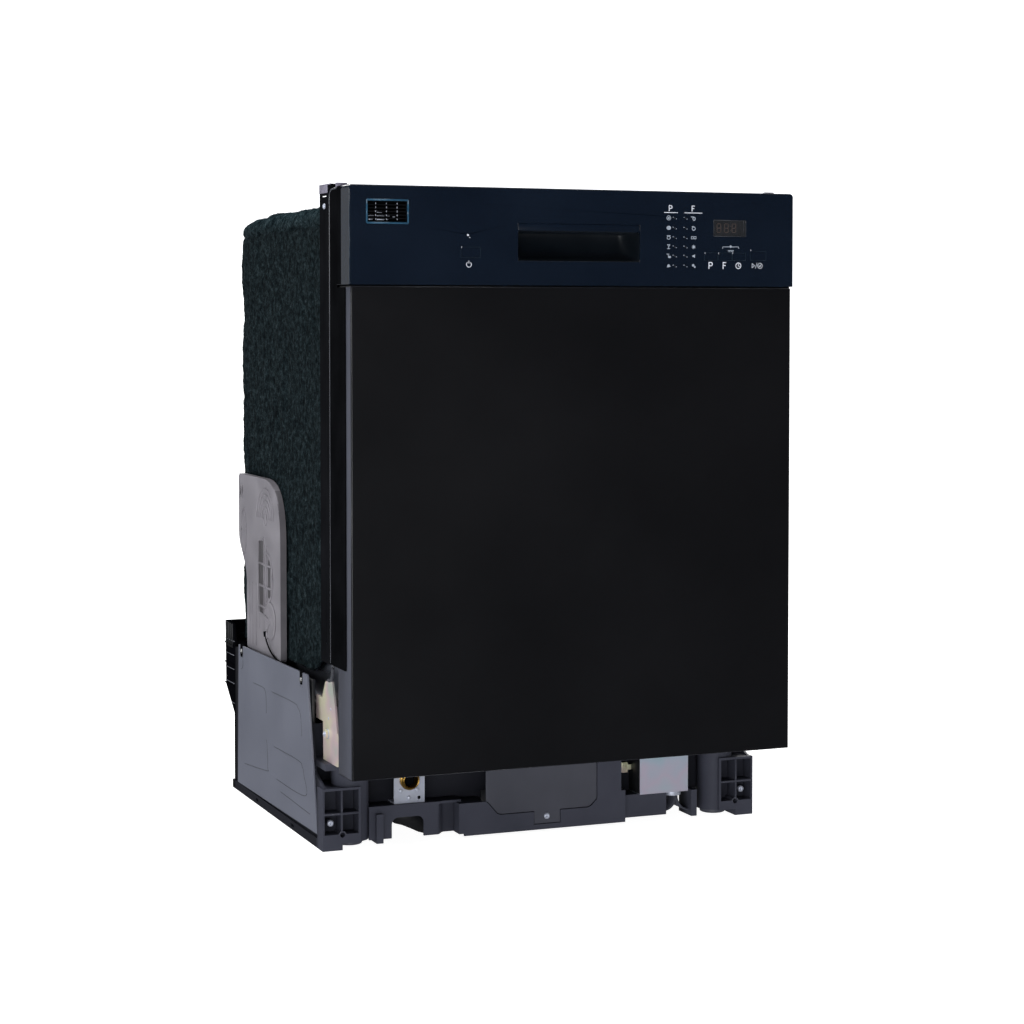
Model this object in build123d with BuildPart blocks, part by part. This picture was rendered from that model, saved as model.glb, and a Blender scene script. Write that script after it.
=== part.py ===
"""A 60 cm built-in dishwasher, made of the pieces it would come apart into on a bench.

Frame: +X to the viewer's right, +Y to the back, +Z up, origin on the floor under the middle of the
machine.  "Depth" is the distance behind the front of the control panel, so Y = depth - 296.
All sizes are millimetres.
"""
import os

from build123d import *

os.makedirs("parts", exist_ok=True)

# ---------------------------------------------------------------- driving dimensions
PANEL_HALF = 298.5          # half the width of the control panel
DEPTH = 592.0               # front of the control panel to the rear uprights of the base
FRONT_Y = -DEPTH / 2
PANEL_TOP = 822.0
PANEL_BOTTOM = 703.0
PANEL_BACK = 47.0
PANEL_WALL = 2.5

DOOR_HALF = 295.5
DOOR_BOTTOM = 107.5
DOOR_TOP = 701.0
DOOR_FRONT = 2.0
DOOR_BACK = 56.0
SHEET = 1.0                 # painted and zinc-plated sheet

HINGE_DEPTH = 35.0
HINGE_Z = 130.0
HINGE_PIN_R = 5.0
RUN_GAP = 0.1               # radial clearance of pins and shafts in their holes

LINER_HALF = 291.0
LINER_FACE = 60.0
LINER_SHEET = 1.2
LINER_BOTTOM = 140.0
LINER_TOP = 806.0
RECESS_DEPTH = 50.0

TUB_HALF = 270.0
TUB_FRONT = 65.5
TUB_BACK = 540.0
TUB_FLOOR = 152.0
TUB_TOP = 778.0
TUB_SHEET = 1.2

FRAME_FRONT = 83.0
FRAME_BACK = 123.0
FRAME_HALF = 296.8
FRAME_TOP = 827.0
FRAME_BOTTOM = 237.0

BLANKET_INNER = 272.0
BLANKET_OUTER = 284.0
BLANKET_BACK = 553.0
BLANKET_TOP = 808.0
BLANKET_BOTTOM = 211.0
# (depth, z) of the blanket's top where it falls away to the back
BLANKET_FALL = [(365, 804), (505, 795), (538, 785)]

BASE_SIDE_IN = 294.0
BASE_SIDE_OUT = 297.0
BASE_RIM = 300.0            # half the overall width
BASE_FRONT = 108.0          # centre block and corner blocks
APRON_FRONT = 118.0
BASE_WALL = 3.0
LEDGE_BACK = 150.0
FLOOR_PLATE_Z = 34.0
BASE_REAR = 537.0

ARM_X = 0.0                 # spray arm axis
ARM_DEPTH = 305.0
LOWER_ARM_LENGTH = 420.0
UPPER_ARM_LENGTH = 400.0
SUMP_DEPTH = 290.0
SUMP_R = 98.0

RACK_WIRE = 4.0
LOWER_FLOOR = 205.0
LOWER_TOP = 345.0
LOWER_HALF = 252.0
LOWER_FRONT = 90.0
LOWER_BACK = 500.0
WHEEL_R = 17.0
WHEEL_Z = 173.5
WHEEL_DEPTHS = {"front": 195.0, "middle": 320.0, "rear": 455.0}

UPPER_FLOOR = 520.0
UPPER_TOP = 650.0
UPPER_HALF = 246.0
UPPER_FRONT = 78.0
UPPER_BACK = 490.0
RAIL_Z = 573.0

BOARD_DEPTH = 16.0
# name: (low x, high x, low z, high z)
BUTTONS = {
    "power_button": (-156.6, -131.4, 736.0, 749.0),
    "program_button": (171.6, 190.2, 736.0, 745.5),
    "function_button": (191.0, 210.2, 736.0, 745.5),
    "delay_button": (211.0, 229.6, 736.0, 745.5),
    "start_button": (236.5, 259.0, 736.5, 748.0),
}
LIGHT_R = 1.0
LIGHT_ROWS = (788.5, 776.0, 764.0, 752.5, 741.0, 728.6)
LIGHT_COLUMNS = (130.0, 145.0)
POWER_LIGHT = (-147.5, 763.4)
POCKET_HALF = 82.0
POCKET_LOW = 733.0
POCKET_HIGH = 779.0
VENT = (-277.0, -223.0, 775.5, 805.0)
DISPLAY = (184.0, 230.5, 766.0, 787.0)

FOOT_X = 256.0
FOOT_DEPTH = 140.0
REAR_FOOT_DEPTH = 495.0
FOOT_DISC_R = 17.0
FOOT_STEM_R = 5.0
CONDUIT_X = 190.0


# ---------------------------------------------------------------- helpers
def at(depth):
    """Y of a point at this depth behind the control panel's front."""
    return FRONT_Y + depth


def block(x, depth, z, mode=Mode.ADD):
    """A box in the current part from its (low, high) spans in X, depth and Z."""
    with Locations(((x[0] + x[1]) / 2, at((depth[0] + depth[1]) / 2), (z[0] + z[1]) / 2)):
        Box(x[1] - x[0], depth[1] - depth[0], z[1] - z[0], mode=mode)


def both_sides(x, depth, z, mode=Mode.ADD):
    """The same box on the right and, mirrored, on the left."""
    block(x, depth, z, mode)
    block((-x[1], -x[0]), depth, z, mode)


def rod(radius, start, direction, length, mode=Mode.ADD):
    """A round bar from start (x, depth, z) along a direction."""
    plane = Plane(origin=(start[0], at(start[1]), start[2]), z_dir=direction)
    with BuildSketch(plane) as section:
        Circle(radius)
    extrude(section.sketch, amount=length, mode=mode)


def side_outline(points, x, thickness, mode=Mode.ADD):
    """A plate parallel to the sides of the machine, drawn as (depth, z) points."""
    with BuildSketch(Plane.YZ.offset(x)) as section:
        with BuildLine():
            Polyline([(at(depth), z) for depth, z in points], close=True)
        make_face()
    extrude(section.sketch, amount=thickness, mode=mode)


def front_plane(depth):
    """A plane facing the viewer: local x is X, local y is Z."""
    return Plane(origin=(0, at(depth), 0), x_dir=(1, 0, 0), z_dir=(0, -1, 0))


def front_outline(points, depth, thickness, mode=Mode.ADD):
    """A plate parallel to the front, drawn as (x, z) points, going back from depth."""
    with BuildSketch(front_plane(depth)) as section:
        with BuildLine():
            Polyline(points, close=True)
        make_face()
    extrude(section.sketch, amount=-thickness, mode=mode)


def rounded_block(x, depth, z, radius, mode=Mode.ADD):
    """Like block, with its four corners rounded as seen from the front."""
    with BuildSketch(front_plane(depth[0])) as section:
        with Locations(((x[0] + x[1]) / 2, (z[0] + z[1]) / 2)):
            Rectangle(x[1] - x[0], z[1] - z[0])
        fillet(section.vertices(), radius)
    extrude(section.sketch, amount=depth[0] - depth[1], mode=mode)


def save(builder, label):
    """Label a finished piece and write it."""
    builder.part.label = label
    export_step(builder.part, "parts/" + label + ".step")


# ---------------------------------------------------------------- door
with BuildPart() as door_outer_panel:
    block((-DOOR_HALF, DOOR_HALF), (DOOR_FRONT, DOOR_BACK), (DOOR_BOTTOM, DOOR_TOP))
    fillet(door_outer_panel.faces().sort_by(Axis.Y)[0].edges(), 1.5)
    inside = DOOR_HALF - SHEET
    block((-inside, inside), (DOOR_FRONT + SHEET, DOOR_BACK), (DOOR_BOTTOM + SHEET, DOOR_TOP - SHEET),
          Mode.SUBTRACT)
    block((-inside, inside), (39, DOOR_BACK), (DOOR_TOP - SHEET, DOOR_TOP), Mode.SUBTRACT)
    # the bottom flange stops short, so that it swings past the gasket
    block((-279, 279), (46, DOOR_BACK), (DOOR_BOTTOM, DOOR_BOTTOM + SHEET), Mode.SUBTRACT)
    # slots in the bottom flange for the fixed hinge brackets
    both_sides((282.0, 287.2), (22.0, DOOR_BACK), (DOOR_BOTTOM, DOOR_BOTTOM + SHEET), Mode.SUBTRACT)
save(door_outer_panel, "door_outer_panel")

with BuildPart() as control_panel:
    block((-PANEL_HALF, PANEL_HALF), (0, PANEL_BACK), (PANEL_BOTTOM, PANEL_TOP))
    top_corners = control_panel.edges().filter_by(Axis.Y).group_by(Axis.Z)[-1]
    fillet(top_corners, 5)
    fillet(control_panel.faces().sort_by(Axis.Y)[0].edges(), 1.8)
    inside = PANEL_HALF - PANEL_WALL
    block((-inside, inside), (PANEL_WALL, PANEL_BACK), (PANEL_BOTTOM + PANEL_WALL, PANEL_TOP - PANEL_WALL),
          Mode.SUBTRACT)
    block((-POCKET_HALF, POCKET_HALF), (0, PANEL_WALL), (POCKET_LOW, POCKET_HIGH), Mode.SUBTRACT)
    block(VENT[:2], (0, PANEL_WALL), VENT[2:], Mode.SUBTRACT)
    block(DISPLAY[:2], (0, PANEL_WALL), DISPLAY[2:], Mode.SUBTRACT)
    for low_x, high_x, low_z, high_z in BUTTONS.values():
        block((low_x - 0.3, high_x + 0.3), (0, PANEL_WALL), (low_z - 0.3, high_z + 0.3), Mode.SUBTRACT)
    rod(LIGHT_R, (POWER_LIGHT[0], 0, POWER_LIGHT[1]), (0, 1, 0), PANEL_WALL, Mode.SUBTRACT)
    for light_x in LIGHT_COLUMNS:
        for light_z in LIGHT_ROWS:
            rod(LIGHT_R, (light_x, 0, light_z), (0, 1, 0), PANEL_WALL, Mode.SUBTRACT)
save(control_panel, "control_panel")

with BuildPart() as handle_pocket:
    wall = 2.0
    outside = [(0.4, POCKET_LOW), (28, POCKET_LOW), (43, 748), (43, 799), (12, 799), (12, 781),
               (10, POCKET_HIGH), (0.4, POCKET_HIGH)]
    inside = [(0, POCKET_LOW + wall), (27, POCKET_LOW + wall), (41, 749), (41, 797), (14, 797),
              (14, 777), (0, 777)]
    side_outline(outside, -POCKET_HALF, 2 * POCKET_HALF)
    side_outline(inside, -POCKET_HALF + wall, 2 * (POCKET_HALF - wall), Mode.SUBTRACT)
save(handle_pocket, "handle_pocket")

with BuildPart() as vent_grille:
    rim = 2.6
    slats = 5
    block(VENT[:2], (0.2, 11), VENT[2:])
    block((VENT[0] + rim, VENT[1] - rim), (0.2, 11), (VENT[2] + rim, VENT[3] - rim), Mode.SUBTRACT)
    pitch = (VENT[3] - VENT[2] - 2 * rim) / (slats + 1)
    for row in range(1, slats + 1):
        slat_z = VENT[2] + rim + row * pitch
        block((VENT[0] + 1, VENT[1] - 1), (1.2, 10), (slat_z - 0.6, slat_z + 0.6))
    for column in (1, 2, 3):
        bar_x = VENT[0] + column * (VENT[1] - VENT[0]) / 4
        block((bar_x - 0.7, bar_x + 0.7), (2.0, 10), (VENT[2] + 1, VENT[3] - 1))
save(vent_grille, "vent_grille")

with BuildPart() as display_window:
    block(DISPLAY[:2], (0.1, 2.2), DISPLAY[2:])
    fillet(display_window.edges().filter_by(Axis.Y), 0.8)
save(display_window, "display_window")

with BuildPart() as indicator_lights:
    rod(LIGHT_R, (POWER_LIGHT[0], 0.1, POWER_LIGHT[1]), (0, 1, 0), 9)
    for light_x in LIGHT_COLUMNS:
        for light_z in LIGHT_ROWS:
            rod(LIGHT_R, (light_x, 0.1, light_z), (0, 1, 0), 9)
save(indicator_lights, "indicator_lights")


def make_button(name, low_x, high_x, low_z, high_z):
    """A push button: the visible key, a flange that keeps it in, and a plunger."""
    middle_x = (low_x + high_x) / 2
    middle_z = (low_z + high_z) / 2
    with BuildPart() as button:
        block((low_x, high_x), (0.2, 4), (low_z, high_z))
        fillet(button.edges().filter_by(Axis.Y), 0.8)
        block((low_x, high_x), (2.8, 4.8), (low_z - 1.6, high_z + 1.6))
        rod(2.0, (middle_x, 4.8, middle_z), (0, 1, 0), 7.2)
    save(button, name)


for button_name, button_box in BUTTONS.items():
    make_button(button_name, *button_box)

with BuildPart() as control_board:
    board_back = BOARD_DEPTH + 1.6
    block((100, 276), (BOARD_DEPTH, board_back), (712, 812))
    block((-168, -120), (BOARD_DEPTH, board_back), (726, 772))
    for low_x, high_x, low_z, high_z in BUTTONS.values():
        middle_x = (low_x + high_x) / 2
        middle_z = (low_z + high_z) / 2
        block((middle_x - 3, middle_x + 3), (BOARD_DEPTH - 2, BOARD_DEPTH), (middle_z - 3, middle_z + 3))
    block((186, 228), (BOARD_DEPTH - 9, BOARD_DEPTH), (768, 785))
    block((115, 160), (board_back, board_back + 14), (722, 760))
    block((180, 215), (board_back, board_back + 4), (770, 800))
save(control_board, "control_board")

with BuildPart() as door_inner_liner:
    block((-LINER_HALF, LINER_HALF), (40, LINER_FACE), (LINER_BOTTOM, LINER_TOP))
    inside = LINER_HALF - LINER_SHEET
    block((-inside, inside), (40, LINER_FACE - LINER_SHEET), (LINER_BOTTOM, LINER_TOP), Mode.SUBTRACT)
    block((-LINER_HALF, LINER_HALF), (40, PANEL_BACK + 1), (DOOR_TOP - 4, LINER_TOP), Mode.SUBTRACT)
    # the pressed recess that faces the tub
    rounded_block((-262, 262), (RECESS_DEPTH, LINER_FACE), (166, 776), 20)
    rounded_block((-262 + LINER_SHEET, 262 - LINER_SHEET), (RECESS_DEPTH + LINER_SHEET, LINER_FACE),
                  (166 + LINER_SHEET, 776 - LINER_SHEET), 20 - LINER_SHEET, Mode.SUBTRACT)
    block((-76, 76), (RECESS_DEPTH, LINER_FACE), (424, 561), Mode.SUBTRACT)
save(door_inner_liner, "door_inner_liner")

with BuildPart() as dispenser_body:
    block((-75.8, 75.8), (28, 53), (424.2, 560.8))
    fillet(dispenser_body.edges().filter_by(Axis.Y), 8)
    block((-60, 10), (36, 53), (482, 548), Mode.SUBTRACT)
    rod(15.3, (40, 46, 450), (0, 1, 0), 7, Mode.SUBTRACT)
    rod(9.0, (40, 34, 450), (0, 1, 0), 12, Mode.SUBTRACT)
    # rails that hold the sliding lid
    block((-70, 75), (53, 55.9), (553.5, 556))
    block((-70, 75), (53, 55.9), (474, 476.5))
save(dispenser_body, "dispenser_body")

with BuildPart() as dispenser_lid:
    block((-66, 14), (53.3, 55.6), (477, 553))
    fillet(dispenser_lid.edges().filter_by(Axis.Y), 4)
    block((-8, -4), (55.6, 57.6), (495, 535))
save(dispenser_lid, "dispenser_lid")

with BuildPart() as rinse_aid_cap:
    rod(15.0, (40, 46.4, 450), (0, 1, 0), 7.6)
    block((27, 53), (54, 57.5), (448, 452))
    rod(8.6, (40, 37, 450), (0, 1, 0), 9.4)
save(rinse_aid_cap, "rinse_aid_cap")

with BuildPart() as hinge_arms:
    arm_outline = [(20, 118), (48, 118), (52, 150), (52, 330), (30, 330), (20, 150)]
    side_outline(arm_outline, 287.4, 2.4)
    side_outline(arm_outline, -289.8, 2.4)
    rod(HINGE_PIN_R + RUN_GAP, (-295, HINGE_DEPTH, HINGE_Z), (1, 0, 0), 590, Mode.SUBTRACT)
save(hinge_arms, "hinge_arms")

LATCH_PIVOT = (28.0, 808.0)
with BuildPart() as latch_housing:
    block((-26, 26), (20, 46), (801, 819.4))
    block((-24, 24), (22, 46), (803, 817.4), Mode.SUBTRACT)
    rod(1.5, (-24, LATCH_PIVOT[0], LATCH_PIVOT[1]), (1, 0, 0), 48)
save(latch_housing, "latch_housing")

with BuildPart() as latch_hook:
    side_outline([(25.5, 806.5), (42, 806.2), (43, 808.5), (40.5, 811.6), (38.5, 811.6), (37, 809.6),
                  (25.5, 810)], -3, 6)
    rod(3.0, (-3, LATCH_PIVOT[0], LATCH_PIVOT[1]), (1, 0, 0), 6)
    rod(1.5 + RUN_GAP, (-3, LATCH_PIVOT[0], LATCH_PIVOT[1]), (1, 0, 0), 6, Mode.SUBTRACT)
save(latch_hook, "latch_hook")

# ---------------------------------------------------------------- tub
with BuildPart() as tub_wrapper:
    with BuildSketch(front_plane(TUB_FRONT)) as wrapper_section:
        with Locations((0, (TUB_FLOOR + TUB_TOP + TUB_SHEET) / 2)):
            Rectangle(2 * (TUB_HALF + TUB_SHEET), TUB_TOP + TUB_SHEET - TUB_FLOOR)
        fillet(wrapper_section.vertices().group_by(Axis.Y)[-1], 24)
    extrude(amount=TUB_FRONT - TUB_BACK)
    with BuildSketch(front_plane(TUB_FRONT)) as wrapper_inside:
        with Locations((0, (TUB_FLOOR + TUB_TOP) / 2)):
            Rectangle(2 * TUB_HALF, TUB_TOP - TUB_FLOOR)
        fillet(wrapper_inside.vertices().group_by(Axis.Y)[-1], 24 - TUB_SHEET)
    extrude(amount=TUB_FRONT - TUB_BACK, mode=Mode.SUBTRACT)
save(tub_wrapper, "tub_wrapper")

with BuildPart() as tub_back_panel:
    block((-TUB_HALF, TUB_HALF), (TUB_BACK, TUB_BACK + TUB_SHEET), (TUB_FLOOR - TUB_SHEET, TUB_TOP))
    block((-200, 200), (TUB_BACK - 4, TUB_BACK), (240, 720))
    block((-200 + TUB_SHEET, 200 - TUB_SHEET), (TUB_BACK - 4 + TUB_SHEET, TUB_BACK + TUB_SHEET),
          (240 + TUB_SHEET, 720 - TUB_SHEET), Mode.SUBTRACT)
save(tub_back_panel, "tub_back_panel")

with BuildPart() as tub_floor:
    block((-TUB_HALF, TUB_HALF), (TUB_FRONT, TUB_BACK), (TUB_FLOOR - TUB_SHEET, TUB_FLOOR))
    rod(SUMP_R - 3, (0, SUMP_DEPTH, TUB_FLOOR - TUB_SHEET), (0, 0, 1), TUB_SHEET, Mode.SUBTRACT)
    rod(4.0, (215, 115, TUB_FLOOR - TUB_SHEET), (0, 0, 1), TUB_SHEET, Mode.SUBTRACT)
    # pressed tracks that the lower wheels run on
    both_sides((250, 268), (TUB_FRONT, 525), (TUB_FLOOR, TUB_FLOOR + 4))
save(tub_floor, "tub_floor")

with BuildPart() as tub_front_frame:
    ring_back = TUB_FRONT
    step_half = 292.0
    step_top = 821.0
    ring_front = ring_back - 1.5
    # flat ring round the mouth, narrow beside the hinges
    block((-step_half, step_half), (ring_front, ring_back), (FRAME_BOTTOM, step_top))
    block((-278.5, 278.5), (ring_front, ring_back), (140, FRAME_BOTTOM))
    block((-TUB_HALF, TUB_HALF), (ring_front, ring_back), (TUB_FLOOR - TUB_SHEET, TUB_TOP), Mode.SUBTRACT)
    # step back to the outer collar
    both_sides((step_half - SHEET, step_half), (ring_back, FRAME_FRONT), (FRAME_BOTTOM, step_top))
    block((-step_half, step_half), (ring_back, FRAME_FRONT), (step_top - SHEET, step_top))
    both_sides((step_half - SHEET, FRAME_HALF), (FRAME_FRONT, FRAME_FRONT + SHEET), (FRAME_BOTTOM, FRAME_TOP))
    block((-FRAME_HALF, FRAME_HALF), (FRAME_FRONT, FRAME_FRONT + SHEET), (step_top - SHEET, FRAME_TOP))
    both_sides((FRAME_HALF - SHEET, FRAME_HALF), (FRAME_FRONT, FRAME_BACK), (FRAME_BOTTOM, FRAME_TOP))
    block((-FRAME_HALF, FRAME_HALF), (FRAME_FRONT, FRAME_BACK), (FRAME_TOP - SHEET, FRAME_TOP))
    # slots and screw holes through the side of the collar
    both_sides((FRAME_HALF - SHEET, FRAME_HALF), (95, 112), (811.5, 812.6), Mode.SUBTRACT)
    for screw_z in (800, 262):
        rod(2.0, (-FRAME_HALF, 102, screw_z), (1, 0, 0), 2 * FRAME_HALF, Mode.SUBTRACT)
save(tub_front_frame, "tub_front_frame")

with BuildPart() as door_gasket:
    gasket_span = (LINER_FACE + 0.4, ring_front)
    rounded_block((-278, 278), gasket_span, (142, TUB_TOP + 10), 12)
    rounded_block((-271.5, 271.5), gasket_span, (148.5, TUB_TOP + 3), 6, Mode.SUBTRACT)
save(door_gasket, "door_gasket")

with BuildPart() as side_trims:
    both_sides((296.1, 297.9), (20, FRAME_FRONT), (FRAME_BOTTOM + 1, 700))
    both_sides((296.1, 297.9), (50, FRAME_FRONT), (700, 820))
    both_sides((292.1, 297.9), (66, FRAME_FRONT), (FRAME_BOTTOM + 1, 818))
save(side_trims, "side_trims")

with BuildPart() as door_strike:
    block((-9, 9), (31, ring_front), (812.4, 814.4))
    block((-16, 16), (ring_front - 1.6, ring_front), (807, 820))
    block((-4, 4), (36, 44), (812.4, 814.4), Mode.SUBTRACT)
save(door_strike, "door_strike")

# ---------------------------------------------------------------- insulation blanket
side_blanket = [(FRAME_BACK + 0.5, BLANKET_TOP), *BLANKET_FALL, (BLANKET_BACK, 762),
                (BLANKET_BACK, BLANKET_BOTTOM), (215, BLANKET_BOTTOM), (160, 228), (FRAME_BACK + 0.5, 262)]
with BuildPart() as insulation_blanket:
    top_inner = TUB_TOP + TUB_SHEET + 0.3
    back_inner = TUB_BACK + TUB_SHEET + 0.3
    top_edge = [(FRAME_BACK + 0.5, top_inner), (back_inner, top_inner), *reversed(BLANKET_FALL),
                (FRAME_BACK + 0.5, BLANKET_TOP)]
    thickness = BLANKET_OUTER - BLANKET_INNER
    side_outline(side_blanket, -BLANKET_OUTER, thickness)
    side_outline(side_blanket, BLANKET_INNER, thickness)
    side_outline(top_edge, 0.4 - BLANKET_INNER, 2 * BLANKET_INNER - 0.8)
    block((0.4 - BLANKET_INNER, BLANKET_INNER - 0.4), (back_inner, BLANKET_BACK), (235, top_inner - 0.4))
save(insulation_blanket, "insulation_blanket")

with BuildPart() as air_breaker:
    with BuildSketch(Plane.YZ.offset(-294)) as breaker_face:
        with BuildLine():
            Polyline([(at(318), 206), (at(318), 400), (at(330), 430), (at(346), 445), (at(527), 446),
                      (at(527), 340), (at(486), 296), (at(484), 206)], close=True)
        make_face()
        fillet(breaker_face.vertices().filter_by(lambda v: v.Y > 250), 12)
    extrude(amount=294 - BLANKET_OUTER - 0.3)
save(air_breaker, "air_breaker")

# ---------------------------------------------------------------- wash system
with BuildPart() as sump:
    rod(SUMP_R, (0, SUMP_DEPTH, 84), (0, 0, 1), TUB_FLOOR - TUB_SHEET - 84)
    rod(SUMP_R + 8, (0, SUMP_DEPTH, TUB_FLOOR - TUB_SHEET - 3), (0, 0, 1), 3)
    rod(SUMP_R - 3, (0, SUMP_DEPTH, 87), (0, 0, 1), 80, Mode.SUBTRACT)
    rod(13, (ARM_X, ARM_DEPTH, 87), (0, 0, 1), 88)
    rod(8, (ARM_X, ARM_DEPTH, 95), (0, 0, 1), 80, Mode.SUBTRACT)
save(sump, "sump")

with BuildPart() as filter_plate:
    rod(SUMP_R - 4, (0, SUMP_DEPTH, 146), (0, 0, 1), 2)
    rod(13.4, (ARM_X, ARM_DEPTH, 146), (0, 0, 1), 2, Mode.SUBTRACT)
    rod(31, (-45, 248, 146), (0, 0, 1), 2, Mode.SUBTRACT)
    with BuildSketch(Plane.XY.offset(146)):
        with Locations((0, at(SUMP_DEPTH))):
            with PolarLocations(80, 36):
                Circle(2.2)
    extrude(amount=2, mode=Mode.SUBTRACT)
save(filter_plate, "filter_plate")

with BuildPart() as filter_cylinder:
    rod(28, (-45, 248, 96), (0, 0, 1), 56)
    rod(26, (-45, 248, 98), (0, 0, 1), 54, Mode.SUBTRACT)
    rod(30, (-45, 248, 148.4), (0, 0, 1), 3)
    rod(26, (-45, 248, 148.4), (0, 0, 1), 3, Mode.SUBTRACT)
    block((-72, -18), (246, 250), (148.4, 160))
save(filter_cylinder, "filter_cylinder")

with BuildPart() as lower_spray_arm:
    with BuildSketch(Plane.XY.offset(180)):
        with Locations((ARM_X, at(ARM_DEPTH))):
            SlotOverall(LOWER_ARM_LENGTH, 34)
            Circle(27)
    extrude(amount=13)
    fillet(lower_spray_arm.edges().group_by(Axis.Z)[-1], 3)
    rod(20, (ARM_X, ARM_DEPTH, 175.4), (0, 0, 1), 5)
    rod(10, (ARM_X, ARM_DEPTH, 175.4), (0, 0, 1), 12, Mode.SUBTRACT)
save(lower_spray_arm, "lower_spray_arm")

with BuildPart() as supply_pipe:
    pipe_r = 8.0
    with BuildLine():
        FilletPolyline((0, at(528), TUB_FLOOR), (0, at(528), 766), (0, at(ARM_DEPTH), 766), radius=22)
    with BuildSketch(Plane(origin=(0, at(528), TUB_FLOOR), z_dir=(0, 0, 1))):
        Circle(pipe_r)
    sweep()
    rod(7, (0, ARM_DEPTH, 750), (0, 0, 1), 22)
    rod(11, (0, 503, 511), (0, 1, 0), 22)
    rod(7.5, (0, 503, 511), (0, 1, 0), 15, Mode.SUBTRACT)
save(supply_pipe, "supply_pipe")

with BuildPart() as top_sprayer:
    rod(44, (0, ARM_DEPTH, 742), (0, 0, 1), 8)
    fillet(top_sprayer.edges().group_by(Axis.Z)[0], 3)
    with BuildSketch(Plane.XY.offset(742)):
        with Locations((0, at(ARM_DEPTH))):
            with PolarLocations(30, 12):
                Circle(1.8)
    extrude(amount=5, mode=Mode.SUBTRACT)
save(top_sprayer, "top_sprayer")

with BuildPart() as wash_pump:
    rod(42, (60, 440, 88), (1, 0, 0), 78)
    rod(30, (138, 440, 88), (1, 0, 0), 40)
    rod(15, (30, 440, 88), (1, 0, 0), 30)
    block((70, 130), (405, 475), (FLOOR_PLATE_Z + BASE_WALL, 60))
save(wash_pump, "wash_pump")

with BuildPart() as drain_pump:
    rod(26, (-175, 290, 78), (1, 0, 0), 50)
    rod(16, (-125, 290, 100), (1, 0, 0), 26)
    block((-170, -130), (272, 308), (FLOOR_PLATE_Z + BASE_WALL, 60))
    rod(11, (-150, 290, 90), (0, 1, 0), 40)
    block((-134, -120), (280, 300), (78, 104))
save(drain_pump, "drain_pump")

with BuildPart() as float_switch:
    rod(16, (215, 115, TUB_FLOOR + 0.4), (0, 0, 1), 30)
    fillet(float_switch.edges().group_by(Axis.Z)[-1], 6)
    rod(4.0 - 0.4, (215, 115, 132), (0, 0, 1), 22)
save(float_switch, "float_switch")


# ---------------------------------------------------------------- racks
def grid_panel(plane, width, height, columns, rows, thickness):
    """A wire panel: a thin plate with a window in every cell."""
    cell_w = width / columns
    cell_h = height / rows
    with BuildSketch(plane) as mesh:
        Rectangle(width, height)
        with GridLocations(cell_w, cell_h, columns, rows):
            Rectangle(cell_w - RACK_WIRE, cell_h - RACK_WIRE, mode=Mode.SUBTRACT)
    extrude(mesh.sketch, amount=thickness)


def wire_basket(half, front, back, floor_z, top_z):
    """Floor and four walls of a rack, wire panels that meet at the edges."""
    middle = at((front + back) / 2)
    length = back - front
    wall_z = (floor_z + top_z) / 2
    wall_h = top_z - floor_z
    grid_panel(Plane((0, middle, floor_z)), 2 * half, length, 8, 7, RACK_WIRE)
    for depth in (front, back - RACK_WIRE):
        plane = Plane(origin=(0, at(depth), wall_z), x_dir=(1, 0, 0), z_dir=(0, 1, 0))
        grid_panel(plane, 2 * half, wall_h, 8, 2, RACK_WIRE)
    for side in (-half, half - RACK_WIRE):
        plane = Plane(origin=(side, middle, wall_z), x_dir=(0, 1, 0), z_dir=(1, 0, 0))
        grid_panel(plane, length, wall_h, 7, 2, RACK_WIRE)


with BuildPart() as lower_rack:
    wire_basket(LOWER_HALF, LOWER_FRONT, LOWER_BACK, LOWER_FLOOR, LOWER_TOP)
    for wheel_depth in WHEEL_DEPTHS.values():
        both_sides((249.5, 253.0), (wheel_depth - 9, wheel_depth + 9), (164, 212))
        rod(3.0, (-264, wheel_depth, WHEEL_Z), (1, 0, 0), 13)
        rod(3.0, (251, wheel_depth, WHEEL_Z), (1, 0, 0), 13)
save(lower_rack, "lower_rack")


def make_wheels(place, depth):
    """A left and a right wheel on one line across the machine."""
    with BuildPart() as wheels:
        for start in (-263.0, 254.0):
            rod(WHEEL_R, (start, depth, WHEEL_Z), (1, 0, 0), 9)
            rod(WHEEL_R - 4, (start, depth, WHEEL_Z), (1, 0, 0), 2, Mode.SUBTRACT)
        fillet(wheels.edges().filter_by(GeomType.CIRCLE).filter_by(lambda e: e.radius > 16), 1)
        rod(3.0 + RUN_GAP, (-263, depth, WHEEL_Z), (1, 0, 0), 526, Mode.SUBTRACT)
    save(wheels, "lower_wheels_" + place)


for wheel_place, wheel_depth in WHEEL_DEPTHS.items():
    make_wheels(wheel_place, wheel_depth)

with BuildPart() as cutlery_basket:
    basket_x = (70, 236)
    basket_depth = (104, 176)
    basket_z = (210, 320)
    block(basket_x, basket_depth, basket_z)
    columns = 3
    column_width = (basket_x[1] - basket_x[0]) / columns
    for column in range(columns):
        low = basket_x[0] + column * column_width + 1.2
        block((low, low + column_width - 2.4), (basket_depth[0] + 2, basket_depth[1] - 2),
              (basket_z[0] + 2, basket_z[1]), Mode.SUBTRACT)
save(cutlery_basket, "cutlery_basket")

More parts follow.
